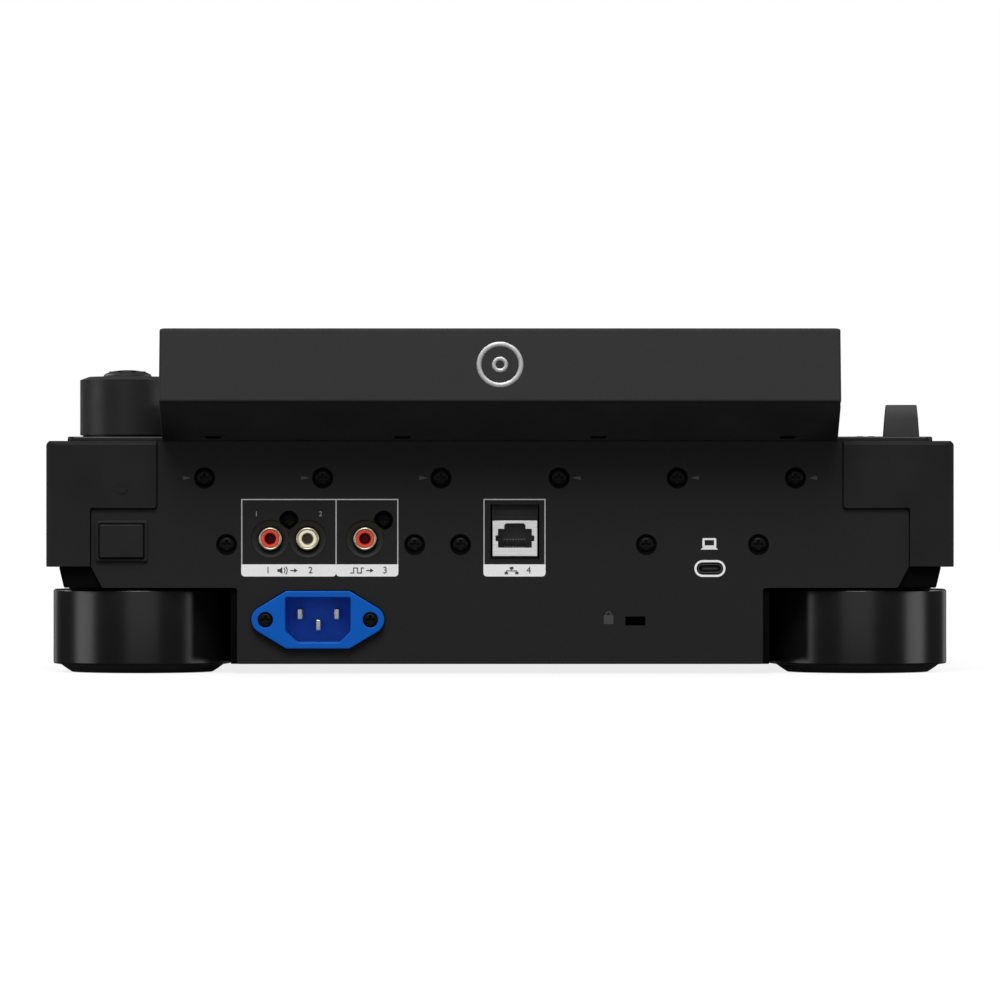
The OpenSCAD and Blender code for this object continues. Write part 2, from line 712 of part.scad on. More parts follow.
// Frame round the glass
module display_bezel() {
    lid = glass_t + glass_ledge;
    color("#19191a") on_display() difference() {
        box([1.5 - display_x, 1.5 - display_l, -lid], [display_x - 1.5, -1.5, 0.0]);
        box([5 - display_x, 5 - display_l, -glass_t - 0.1], [display_x - 5, -5, over]);
        box([8 - display_x, 8 - display_l, -lid - over], [display_x - 8, -8, over]);
    }
}

// Cover glass with the touch layer
module touch_glass() {
    color("#08090a") on_display()
        box([5.3 - display_x, 5.3 - display_l, -glass_t - 0.1], [display_x - 5.3, -5.3, -0.3]);
}

// Panel bonded under the glass
module lcd_panel() {
    frame_w = 3;
    y = 5 - display_l / 2;                      // the picture sits a little towards the back
    color("#3a3d42") on_display() box(
        [-screen_w / 2 - frame_w, y - screen_l / 2 - frame_w, -glass_t - 0.1 - lcd_t],
        [screen_w / 2 + frame_w, y + screen_l / 2 + frame_w, -glass_t - 0.1]);
}

// Main board on the chassis posts, with its larger parts
module main_board() {
    y1 = panel_back_y - 2.3;
    color("#0f5a34") {
        box([-main_w / 2, y1 - main_d, main_z], [main_w / 2, y1, main_z + board_t]);
    }
    color("#222222") {
        box([-50, y1 - 90, main_z + board_t], [-15, y1 - 55, main_z + board_t + 2.6]);
        box([10, y1 - 85, main_z + board_t], [34, y1 - 61, main_z + board_t + 2.2]);
        for (i = [0:3]) translate([60 + 8 * i, y1 - 70, main_z + board_t]) cylinder(r = 3, h = 9);
    }
}

// Power supply board with transformer, capacitors and heat sink
module power_board() {
    top = psu_z + board_t;
    color("#5b4a22") difference() {
        box([psu_x[0], psu_y[0], psu_z], [psu_x[1], psu_y[1], top]);
        for (x = [psu_x[0] + 5, psu_x[1] - 5], y = [psu_y[0] + 5, psu_y[1] - 5])
            translate([x, y, psu_z - over]) cylinder(r = 1.6, h = board_t + 2 * over);
    }
    translate([psu_x[0], psu_y[0], top]) {
        color("#8a7a30") box([26, 30, 0], [54, 56, 17]);
        color("#202028") for (i = [0:2]) translate([14, 24 + 18 * i, 0]) cylinder(r = 6, h = 18);
        color("#8d9096") for (i = [0:4]) box([62 + 3 * i, 20, 0], [63.5 + 3 * i, 60, 15]);
    }
}

// Key board under the deck: switches, rocker bearings and the trim pot
module key_board() {
    low = key_board_z - key_board_t;
    right_edge = fader_pos[0] - fader_w / 2 - 3;
    color("#0f5a34") difference() {
        union() {
            box([-side_x + wall + 3, front_y + wall + 4, low], [right_edge, cue_y + key_board_back, key_board_z]);
            box([right_edge - over, fader_pos[1] + fader_travel + key_tail_front, low],
                [side_x - wall - 3, trim_pos[1] + key_tail_back, key_board_z]);
        }
        for (s = [-1, 1], y = boss_y) translate([s * (side_x - boss_in), y, low - over])
            cylinder(r = boss_r + 1.2, h = key_board_t + 2 * over);
    }
    color("#2b2b2b") {
        for (k = concat(push_keys_on_board(), [[play_pos[0], play_pos[1]], [cue_pos[0], cue_pos[1]]]))
            box([k[0] - 1.5, k[1] - 3, key_board_z], [k[0] + 1.5, k[1] + 3, key_board_z + switch_h]);
        for (k = rockers) {
            rocker_bearing(k);
        }
        difference() {
            union() {
                translate([trim_pos[0], trim_pos[1], key_board_z])
                    cylinder(r = 6, h = deck_z - deck_t - key_board_z - 0.3);
                translate([trim_pos[0], trim_pos[1], key_board_z])
                    cylinder(r = 3.5, h = plate_z - key_board_z);
            }
            translate([trim_pos[0], trim_pos[1], key_board_z + 1]) cylinder(r = 1.5 + post_fit,
                h = plate_z - key_board_z);
        }
    }
}

function push_keys_on_board() = [for (k = push_keys) if (k[1] < lever_y) k];

// Two ears and a pin that a rocker key tips on
module rocker_bearing(k) {
    ear_y = k[3] / 2 - 1.5;
    for (s = [-1, 1]) translate([k[0], k[1] + s * ear_y, 0])
        box([-2, -0.6, key_board_z], [2, 0.6, rocker_pin_z + 1.6]);
    rod_back(k[0], k[1] + ear_y, rocker_pin_z, rocker_pin_r, 2 * ear_y);
}

// Mains inlet: flange outside the panel, cavity through it
module mains_inlet() {
    color("#0f5bc3") translate([inlet_x, 0, inlet_z]) difference() {
        union() {
            from_back(panel_y + inlet_flange_t, inlet_flange_t) inlet_outline();
            from_back(panel_y + over, inlet_depth + inlet_wall + over) inlet_cavity(inlet_wall);
        }
        from_back(panel_y + inlet_flange_t + over, inlet_depth + inlet_flange_t + over) inlet_cavity(0);
        for (s = [-1, 1]) {
            rod_back(s * inlet_pitch / 2, rear_y + 9, 0, screw_r + 0.1, 19);
            rod_back(s * inlet_pitch / 2, rear_y + 9, 0, screw_head_r + 0.2, 9 + panel_in - 1);
        }
        for (p = inlet_blades) translate([p[0], 0, p[1]]) box([-1, panel_y - 40, -2], [1, panel_y, 2]);
    }
}

inlet_blades = [[-6.7, 2], [6.7, 2], [0, -2]];

// Three flat blades, seated in the inlet's back wall
module inlet_pins() {
    color("#c9cbd0") translate([inlet_x, 0, inlet_z]) for (p = inlet_blades) translate([p[0], 0, p[1]])
        box([-1, panel_y - inlet_depth - inlet_wall - 4, -2], [1, panel_y - 2.5, 2]);
}

// Plastic bodies of the audio jacks, standing on the main board
module jack_block() {
    color("#0c0c0d") {
        jack_body(jack_x[0], jack_boss_lap);
        jack_body(jack_x[1], 0);
        jack_body(jack_x[2], jack_boss_lap);
    }
}

// One jack body with its collar; with a lap it also carries the boss of a screw
module jack_body(x, lap) {
    low = main_z + board_t;
    y1 = panel_back_y;
    half = jack_pitch / 2 - 0.1;
    boss_half = jack_pitch / 2 - 3.3;
    difference() {
        union() {
            box([x - half, y1 - jack_depth, low], [x + half, y1 - jack_face, jack_boss_z - 0.1 + lap]);
            rod_back(x, y1 + 0.4, jack_z, jack_collar_r, 4);
            if (lap > 0) translate([x - jack_pitch / 2, 0, 0])
                box([-boss_half, y1 - 9, jack_boss_z], [boss_half, y1 - jack_face, jack_boss_z + 5.4]);
        }
        rod_back(x, y1 + over, jack_z, jack_collar_r - 1, jack_face + over);
        rod_back(x, y1 + over, jack_z, jack_r + 0.05, jack_depth - 3);
        for (x = jack_screw_x) {
            rod_back(x, y1 + over, jack_screw_z, screw_r + 0.1, 12);
            rod_back(x, y1 + over, jack_screw_z, screw_head_r + 0.5, over + jack_head_in);
        }
    }
}

// Plated sleeves of the audio jacks
module jack_sleeves() {
    color("#d8d2c4") for (x = jack_x) difference() {
        rod_back(x, panel_y + 0.6, jack_z, jack_r, jack_depth - 1.9 - 3);
        rod_back(x, rear_y + over, jack_z, jack_r - 0.6, 30);
    }
}

// Coloured inserts of the audio jacks, each with its contact hole
module jack_inserts() {
    module insert(x) difference() {
        rod_back(x, panel_y + 0.2, jack_z, jack_r - 0.65, 11);
        rod_back(x, rear_y + over, jack_z, 1.65, 30);
    }
    color("#cf3a22") {
        insert(jack_x[0]);
        insert(jack_x[2]);
    }
    color("#e9e2c2") insert(jack_x[1]);
}

// Shielded network socket with its stepped mouth
module lan_socket() {
    y1 = panel_y - 0.2;
    color("#cfd0d2") difference() {
        box([lan_x - lan_w / 2, y1 - lan_depth, main_z + board_t], [lan_x + lan_w / 2, y1, lan_z +
            lan_h / 2]);
        translate([lan_x, 0, lan_z]) {
            box([-lan_mouth[0] / 2, y1 - 14, -lan_mouth[1] / 2],
                [lan_mouth[0] / 2, rear_y, lan_mouth[1] / 2]);
            box([-3.8, y1 - 14, lan_mouth[1] / 2 - over], [3.8, rear_y, lan_mouth[1] / 2 + 2]);
            box([-7, y1 - 1.2, -1], [7, rear_y, 1]);
        }
        box([lan_x - lan_w, y1 - 1.6, main_z], [lan_x + lan_w, rear_y, lan_z - lan_h / 2]);
    }
}

// Small reversible data socket: a rounded shell with a tongue
module usb_c_socket() {
    y1 = panel_y - 0.2;
    color("#b9bbc0") {
        difference() {
            union() {
                translate([usb_c_x, 0, usb_c_z]) from_back(y1, usb_c_depth)
                    polygon(stadium(usb_c_w, usb_c_h));
                box([usb_c_x - 4, y1 - usb_c_depth, main_z + board_t],
                    [usb_c_x + 4, y1 - 3.5, usb_c_z]);
            }
            translate([usb_c_x, 0, usb_c_z]) from_back(rear_y, usb_c_depth + panel_in - 1)
                polygon(stadium(usb_c_w - 0.6, usb_c_h - 0.6));
        }
        box([usb_c_x - 3.3, y1 - usb_c_depth + 0.5, usb_c_z - 0.35], [usb_c_x + 3.3, y1 - 1, usb_c_z +
            0.35]);
    }
}

// Upright data socket in the deck, open at the top
module usb_a_socket() {
    depth = 15;
    color("#b9bbc0") translate([usb_a_pos[0], usb_a_pos[1], 0]) difference() {
        union() {
            translate([0, 0, plate_z - depth]) slab(usb_a_w, usb_a_d, depth - 0.2, 0.5);
            translate([0, 0, under_z - 1.5]) slab(usb_a_w + 5, usb_a_d + 5, 1.5, 0.5);
        }
        translate([0, 0, plate_z - depth + 1.5]) slab(usb_a_w - 0.8, usb_a_d - 0.8, depth, 0.2);
    }
}

// Bezel and body of the power switch
module power_switch() {
    color("#0a0a0b") translate([power_x, 0, power_z]) difference() {
        union() {
            from_back(panel_y + 0.9, 0.9) polygon(round_rect(power_w, power_h, 0.8));
            box([-power_body[0], panel_y - 22, -power_body[1]], [power_body[0], panel_y + 0.2,
                power_body[1]]);
        }
        from_back(panel_y + 2, 12) polygon(round_rect(power_key_w + 0.4, power_key_h + 0.4, 0.6));
        box([-3, panel_y - 16, -3], [3, panel_y - 9, 3]);
    }
}

// Pan-head screws: rear panel, inlet, jacks and feet
module screws() {
    color("#0d0d0e") {
        for (x = screw_x) rear_screw(x, panel_y - dish_t, screw_top_z);
        for (x = screw_low_x) rear_screw(x, panel_y - dish_t, screw_low_z);
        for (s = [-1, 1]) rear_screw(inlet_x + s * inlet_pitch / 2, panel_y + 1, inlet_z);
        for (x = jack_screw_x) rear_screw(x, panel_back_y - jack_head_in, jack_screw_z);
        for (p = foot_places) translate([p[0], p[1], 0]) {
            translate([0, 0, foot_hollow_z]) mirror([0, 0, 1]) cylinder(r = foot_screw_head_r, h = 2.4);
            translate([0, 0, foot_hollow_z]) cylinder(r = foot_screw_r, h = floor_z - foot_hollow_z +
                1.5);
        }
    }
}

// One screw whose head sits on y, with a cross recess
module rear_screw(x, y, z) {
    head = 1;
    difference() {
        union() {
            rod_back(x, y + head, z, screw_head_r, head);
            rod_back(x, y, z, screw_r, screw_l);
        }
        for (a = [0, 90]) translate([x, y + head, z]) rotate([0, a, 0])
            cube([3, 1.2, 0.6], center = true);
    }
}

// Plate under the deck that floors the dial's well and carries its post
module jog_base() {
    fork_in = disc_r - 4;
    fork_out = disc_r + 6;
    color("#2a2a2c") translate([0, jog_y, 0]) {
        difference() {
            union() {
                translate([0, 0, under_z - jog_base_t]) cylinder(r = jog_base_r, h = jog_base_t);
                translate([0, 0, under_z - over]) cylinder(r = post_r, h = post_z - under_z + over);
            }
            translate([0, 0, under_z - jog_base_t - over]) cylinder(r = post_r - 6, h = 60);
        }
        difference() {
            box([fork_in, -5, under_z - over], [fork_out, 5, disc_z + disc_t + 2.6]);
            box([fork_in - over, -6, disc_z - 0.8], [disc_r + 1, 6, disc_z + disc_t + 0.8]);
        }
    }
}

// Round display in the dial's middle, standing on the post
module jog_display() {
    color("#0a0b0d") translate([0, jog_y, 0]) {
        translate([0, 0, post_z]) rotate_extrude() polygon([
            [0, 0], [eye_r, 0], [eye_r, 1.8], [eye_r - 0.8, 2.6], [0, 2.6]
        ]);
        translate([0, 0, post_z - 6]) cylinder(r = post_r - 6.3, h = 6 + over);
    }
}

// Hub that runs on the post, with flanges for the disc and the plate
module jog_hub() {
    color("#77797d") translate([0, jog_y, 0]) difference() {
        union() {
            translate([0, 0, hub_low_z]) cylinder(r = hub_r + 8, h = 1);
            translate([0, 0, hub_low_z]) cylinder(r = hub_r, h = hub_top_z - hub_low_z);
            translate([0, 0, hub_top_z - hub_flange_t]) cylinder(r = eye_r + 14, h = hub_flange_t);
        }
        translate([0, 0, hub_low_z - over]) cylinder(r = post_r + post_fit, h = 40);
        for (a = [0:60:300]) rotate([0, 0, a]) translate([eye_r + 9, 0, hub_top_z - 4])
            cylinder(r = 1.3, h = 8);
    }
}

// Top plate of the dial, open round the display, with turned grooves
module jog_plate() {
    r_out = jog_r - 10;
    r_in = eye_r + 0.6;
    color("#1a1a1b") translate([0, jog_y, hub_top_z]) rotate_extrude() polygon(concat(
        [[r_in, 0], [r_out, 0], [r_out, jog_plate_t - 0.5], [r_out - 0.5, jog_plate_t]],
        [for (i = [0:5], k = [0:2]) [r_out - 4 - 8 * i - 0.5 * k, jog_plate_t - (k == 1 ? 0.35 : 0)]],
        [[r_in + 0.5, jog_plate_t], [r_in, jog_plate_t - 0.5]]
    ));
}

// Rim of the dial: toothed skirt, sloping shoulder and finger dimples
module jog_rim() {
    skirt_low = plate_z + 0.8;
    skirt_top = hub_top_z - 4;
    shoulder_r = jog_r - 10;
    color("#121213") translate([0, jog_y, 0]) difference() {
        union() {
            translate([0, 0, skirt_low]) linear_extrude(skirt_top - skirt_low) difference() {
                polygon([for (i = [0:4 * jog_teeth - 1])
                    (jog_r - (i % 4 < 2 ? 0 : 0.7)) * [cos(90 * i / jog_teeth),
                        sin(90 * i / jog_teeth)]]);
                circle(r = jog_r - rim_skirt_t, $fn = 180);
            }
            rotate_extrude() polygon([
                [rim_in_r, hub_top_z - 2.4], [shoulder_r - 4, hub_top_z - 2.4],
                    [jog_r - rim_skirt_t, hub_top_z - 6],
                [jog_r - rim_skirt_t, skirt_top - over], [jog_r - 0.8, skirt_top - over],
                    [jog_r - 0.8, skirt_top],
                [jog_r - 1.4, hub_top_z - 2.5],
                [jog_r - 3, hub_top_z - 0.6], [jog_r - 5, hub_top_z + 0.8],
                    [shoulder_r + 0.3, hub_top_z + 1.2],
                [shoulder_r + 0.3, hub_top_z], [rim_in_r, hub_top_z]
            ]);
        }
        for (i = [0:jog_dimples - 1]) rotate([0, 0, 360 * i / jog_dimples])
            translate([jog_r - 4.2, 0, hub_top_z + 11.2]) sphere(r = 12.4);
    }
}

// Thin disc with radial slots that the sensor fork reads
module encoder_disc() {
    color("#8e9196") translate([0, jog_y, disc_z]) difference() {
        cylinder(r = disc_r, h = disc_t);
        translate([0, 0, -over]) cylinder(r = hub_r + 0.05, h = disc_t + 2 * over);
        for (i = [0:disc_slots - 1]) rotate([0, 0, 360 * i / disc_slots])
            translate([disc_r - 5, -0.9, -over]) cube([3.4, 1.8, disc_t + 2 * over]);
    }
}

// Long channel under the deck that guides the tempo carriage
module fader_body() {
    length = 2 * fader_travel + carriage_d + 6;
    color("#6d7075") translate([fader_pos[0], fader_pos[1], 0]) difference() {
        box([-fader_w / 2, -length / 2, under_z - fader_h], [fader_w / 2, length / 2, under_z]);
        box([fader_wall - fader_w / 2, fader_wall - length / 2, under_z - fader_h + fader_wall],
            [fader_w / 2 - fader_wall, length / 2 - fader_wall, under_z - fader_wall]);
        box([-fader_slot / 2, -fader_travel - stem_d / 2 - 1, under_z - 2 * fader_wall],
            [fader_slot / 2, fader_travel + stem_d / 2 + 1, under_z + over]);
    }
}

// Block that runs in the channel, with the stem that carries the cap
module tempo_carriage() {
    color("#2c2c2e") translate([fader_pos[0], fader_pos[1], 0]) {
        box([fader_wall + snug - fader_w / 2, -carriage_d / 2, under_z - fader_h + fader_wall + 0.2],
            [fader_w / 2 - fader_wall - snug, carriage_d / 2, under_z - fader_wall - 0.2]);
        box([-stem_w / 2, -stem_d / 2, under_z - fader_wall - over], [stem_w / 2, stem_d / 2, plate_z +
            fader_rise + 4]);
    }
}

// Finger cap of the tempo slider, waisted, with a groove across its middle
module tempo_cap() {
    h = 9;
    d = 13;
    color("#1b1b1c") translate([fader_pos[0], fader_pos[1], plate_z + fader_rise]) difference() {
        translate([-fader_cap_w / 2, 0, 0]) rotate([90, 0, 90]) linear_extrude(fader_cap_w) polygon([
            [-d / 2, 0], [d / 2, 0], [d / 2, h - 1], [d / 2 - 1, h], [3.4, h], [0.5, h - 1.8],
                [-0.5, h - 1.8],
            [-3.4, h], [1 - d / 2, h], [-d / 2, h - 1]
        ]);
        box([-stem_w / 2 - 0.02, -stem_d / 2 - 0.02, -over], [stem_w / 2 + 0.02, stem_d / 2 + 0.02, 4]);
    }
}

// Rotary encoder: can under the deck and threaded bush through it
module selector_encoder() {
    w = 15;
    h = 13;
    color("#8b8d92") translate([knob_pos[0], knob_pos[1], 0]) difference() {
        union() {
            box([-w / 2, -w / 2, under_z - h], [w / 2, w / 2, under_z]);
            translate([0, 0, under_z - over]) cylinder(r = 4.5, h = plate_z + 3 - under_z + over);
        }
        translate([0, 0, under_z - h + 2]) cylinder(r = 6, h = h - 4);
        translate([0, 0, under_z - 4]) cylinder(r = shaft_r + post_fit, h = 40);
    }
}

// Rotor ring inside the encoder, which turns with the shaft
module selector_collar() {
    color("#d0c9b2") translate([knob_pos[0], knob_pos[1], under_z - 13 + 2 + 2.5]) difference() {
        cylinder(r = 5.7, h = 6);
        translate([0, 0, -over]) cylinder(r = shaft_r + post_fit, h = 8);
    }
}

// Shaft of the selector
module selector_shaft() {
    low = under_z - 13 + 2 + knob_travel + seat;
    color("#b7b9be") translate([knob_pos[0], knob_pos[1], low]) cylinder(r = shaft_r, h = plate_z +
        16 - low);
}

// Selector knob: plain drum, bevelled top edge and a low domed cap
module selector_knob() {
    low = knob_travel + 0.4;
    color("#161617") translate([knob_pos[0], knob_pos[1], plate_z]) difference() {
        rotate_extrude() polygon(concat(
            [[0, low], [knob_r - 0.6, low], [knob_r, low + 0.6], [knob_r, knob_h - 1.2],
             [knob_r - 3.4, knob_h], [8.5, knob_h], [8.3, knob_h + 1]],
            [for (a = [0:5]) [8 * cos(15 + 15 * a), knob_h + 1 + 1.7 * sin(15 + 15 * a) - 0.44]]
        ));
        translate([0, 0, low - over]) cylinder(r = 7, h = 3 + knob_travel + over);
        translate([0, 0, low - over]) cylinder(r = shaft_r + 0.02, h = 16 - low + over);
    }
}

// Bearing blocks and pin of the direction lever
module lever_switch() {
    color("#3b3b3d") translate([lever_pos[0], lever_pos[1], 0]) {
        difference() {
            box([-9, -10, lever_axis_z - 9], [9, 10, under_z]);
            box([-5, -8.6, lever_axis_z - 7.5], [5, 8.6, under_z + over]);
            box([-lever_w / 2 - key_gap, -8.6, under_z - 1.5], [lever_w / 2 + key_gap, 8.6, under_z +
                over]);
        }
        translate([-5 - over, 0, lever_axis_z]) rotate([0, 90, 0]) cylinder(r = 1.5, h = 10 + 2 * over);
    }
}

// Three-position direction lever, tapering to its top
module direction_lever() {
    low = deck_z + 0.6 - lever_axis_z;
    high = plate_z + lever_h - lever_axis_z;
    top_w = lever_w - 2;
    color("#28282a") translate([lever_pos[0], lever_pos[1], lever_axis_z]) difference() {
        union() {
            box([-4.6, -3, -3.4], [4.6, 3, low + over]);
            intersection() {
                translate([0, lever_t / 2, 0]) rotate([90, 0, 0]) linear_extrude(lever_t) polygon([
                    [-lever_w / 2, low], [lever_w / 2, low], [top_w / 2, high], [-top_w / 2, high]
                ]);
                translate([-lever_w / 2, 0, 0]) rotate([90, 0, 90]) linear_extrude(lever_w) polygon([
                    [-lever_t / 2, low], [lever_t / 2, low], [lever_t / 2, high - 5],
                        [lever_t / 2 - 2, high - 0.6],
                    [lever_t / 2 - 3, high], [3 - lever_t / 2, high], [2 - lever_t / 2, high - 0.6],
                        [-lever_t / 2, high - 5]
                ]);
            }
        }
        translate([-20, 0, 0]) rotate([0, 90, 0]) cylinder(r = 1.5 + post_fit, h = 40);
    }
}

// Small knob that sets the dial's weight, with its shaft
module jog_adjust_knob() {
    color("#202022") translate([trim_pos[0], trim_pos[1], 0]) {
        translate([0, 0, key_board_z + 1 + seat]) cylinder(r = 1.5, h = plate_z - key_board_z);
        translate([0, 0, plate_z + 0.4]) difference() {
            rotate_extrude() polygon([[0, 0], [trim_r, 0], [trim_r - 0.8, 9], [trim_r - 1.6, 10],
                [0, 10]]);
            for (a = [0:30:330]) rotate([0, 0, a]) translate([trim_r + 0.7, 0, 1.5])
                cylinder(r = 1.2, h = 10);
            translate([-0.4, trim_r - 5, 9.4]) cube([0.8, 6, 2]);
        }
    }
}

// Push button of the power switch, with its plunger
module power_button() {
    color("#151516") translate([power_x, 0, power_z]) {
        from_back(panel_y + 2.1, 8) polygon(round_rect(power_key_w, power_key_h, 0.5));
        box([-2.7, panel_y - 14 + power_travel, -2.7], [2.7, panel_y - 5, 2.7]);
    }
}

// Cap, flange and stem of a push key
module key(k, rise = key_rise) {
    translate([k[0], k[1], 0]) {
        translate([0, 0, key_flange_z]) slab(k[2], k[3] + 2 * key_lip, key_flange_t, k[4]);
        translate([0, 0, key_flange_z + 0.5])
            bevelled(k[2], k[3], plate_z + rise - key_flange_z - 0.5, k[4], 0.5);
        box([-1.4, -1.5, stem_z], [1.4, 1.5, key_flange_z + 0.5]);
    }
}

// Round push button with a chamfered, slightly hollow face
module round_button(p) {
    top = plate_z + key_rise + 0.8;
    translate([p[0], p[1], 0]) {
        rotate_extrude() polygon([
            [0, key_flange_z], [play_r + key_lip, key_flange_z], [play_r + key_lip, key_flange_z +
                key_flange_t],
            [play_r, key_flange_z + key_flange_t], [play_r, top - 1], [play_r - 1, top],
                [play_r - 4.4, top],
            [play_r - 5, top - 0.5], [0, top - 0.5]
        ]);
        box([-1.4, -1.5, stem_z], [1.4, 1.5, key_flange_z + 0.5]);
    }
}

// Rocker key: a long cap on a web that turns on its pin
module rocker(k) {
    web = k[3] / 2 - 2.5;
    low = key_flange_z + 1.2;
    translate([k[0], k[1], 0]) difference() {
        union() {
            translate([0, 0, low]) bevelled(k[2], k[3], plate_z + key_rise - low, k[4], 0.5);
            box([-2.4, -web, rocker_pin_z - 2.2], [2.4, web, low + 0.5]);
        }
        rod_back(0, k[3], rocker_pin_z, rocker_pin_r + post_fit, 2 * k[3]);
        for (s = [-1, 1]) box([-3, s * (k[3] / 2 - 1.5) - 1, 0],
            [3, s * (k[3] / 2 - 1.5) + 1, rocker_pin_z + 1.8]);
        translate([0, 0, plate_z + key_rise + 12]) rotate([90, 0, 0]) cylinder(r = 12.4, h = k[3] + 2,
            center = true);
    }
}

module play_button() { color("#1d1f1d") round_button(play_pos); }
module cue_button() { color("#1f1e1c") round_button(cue_pos); }
module hot_cue(i) { color("#2a2a2b") key(cue_pads[i]); }
module loop_in_key() { color("#262627") key(loop_in); }
module loop_out_key() { color("#262627") key(loop_out); }
module loop_exit_key() { color("#262627") key(loop_exit); }
module sync_key() { color("#262627") key(sync); }
module master_key() { color("#262627") key(master); }
module slip_key() { color("#262627") key(slip, small_key_rise); }
module quantize_key() { color("#262627") key(quantize, small_key_rise); }
module track_rocker() { color("#262627") rocker(track); }
module search_rocker() { color("#262627") rocker(search); }

bottom_chassis();
rear_panel();
upper_case();
control_plate();
feet();
foot_pads();
display_base();
display_housing();
display_bezel();
touch_glass();
lcd_panel();
main_board();
power_board();
key_board();
mains_inlet();
inlet_pins();
jack_block();
jack_sleeves();
jack_inserts();
lan_socket();
usb_c_socket();
usb_a_socket();
power_switch();
screws();
jog_base();
jog_display();
fader_body();
selector_encoder();
lever_switch();
jog_rim();
jog_plate();
jog_hub();
encoder_disc();
tempo_cap();
tempo_carriage();
selector_collar();
selector_shaft();
selector_knob();
direction_lever();
jog_adjust_knob();
power_button();
play_button();
cue_button();
for (i = [1:8]) hot_cue(i - 1);
loop_in_key();
loop_out_key();
loop_exit_key();
sync_key();
master_key();
slip_key();
quantize_key();
track_rocker();
search_rocker();
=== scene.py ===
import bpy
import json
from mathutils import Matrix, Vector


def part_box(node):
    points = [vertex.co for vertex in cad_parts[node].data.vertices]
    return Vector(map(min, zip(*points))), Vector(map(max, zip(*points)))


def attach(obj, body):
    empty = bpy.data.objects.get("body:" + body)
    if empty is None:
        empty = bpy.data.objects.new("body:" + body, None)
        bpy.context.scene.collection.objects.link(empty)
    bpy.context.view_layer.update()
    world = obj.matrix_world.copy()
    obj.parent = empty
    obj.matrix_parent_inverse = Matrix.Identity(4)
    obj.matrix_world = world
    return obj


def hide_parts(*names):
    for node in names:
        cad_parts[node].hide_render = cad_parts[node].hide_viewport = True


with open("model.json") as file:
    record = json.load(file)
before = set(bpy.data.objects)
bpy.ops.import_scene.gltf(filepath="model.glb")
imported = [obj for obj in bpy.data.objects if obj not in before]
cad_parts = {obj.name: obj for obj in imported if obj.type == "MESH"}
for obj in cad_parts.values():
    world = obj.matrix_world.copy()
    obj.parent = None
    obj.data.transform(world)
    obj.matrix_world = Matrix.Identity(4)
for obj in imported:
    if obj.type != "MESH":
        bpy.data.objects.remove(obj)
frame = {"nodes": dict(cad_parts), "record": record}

"""Looks of a tabletop jog-dial player: every finish, every softened edge, the prints and small parts.

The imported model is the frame. Each sub-assembly is a class that keeps its sizes as fields, builds its
pieces over the nodes they stand for and gives the other nodes their finish. Lengths are metres.
"""

import json
import logging
import math
from dataclasses import dataclass
from enum import Enum
from typing import Iterable, Optional, Sequence

import bmesh
import bpy
from mathutils import Vector

LOG = logging.getLogger("player")
MM = 0.001
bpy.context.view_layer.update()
RECORD = frame["record"]
BODY_OF = {node: body for body, nodes in RECORD["behaviour"]["bodies"].items() for node in nodes}
Point = tuple[float, float, float]
Flat = tuple[float, float]


class Axis(Enum):
    """Direction in which a rod, disc or outline faces."""

    ACROSS = "x"
    BACK = "y"
    UP = "z"


# Finishes


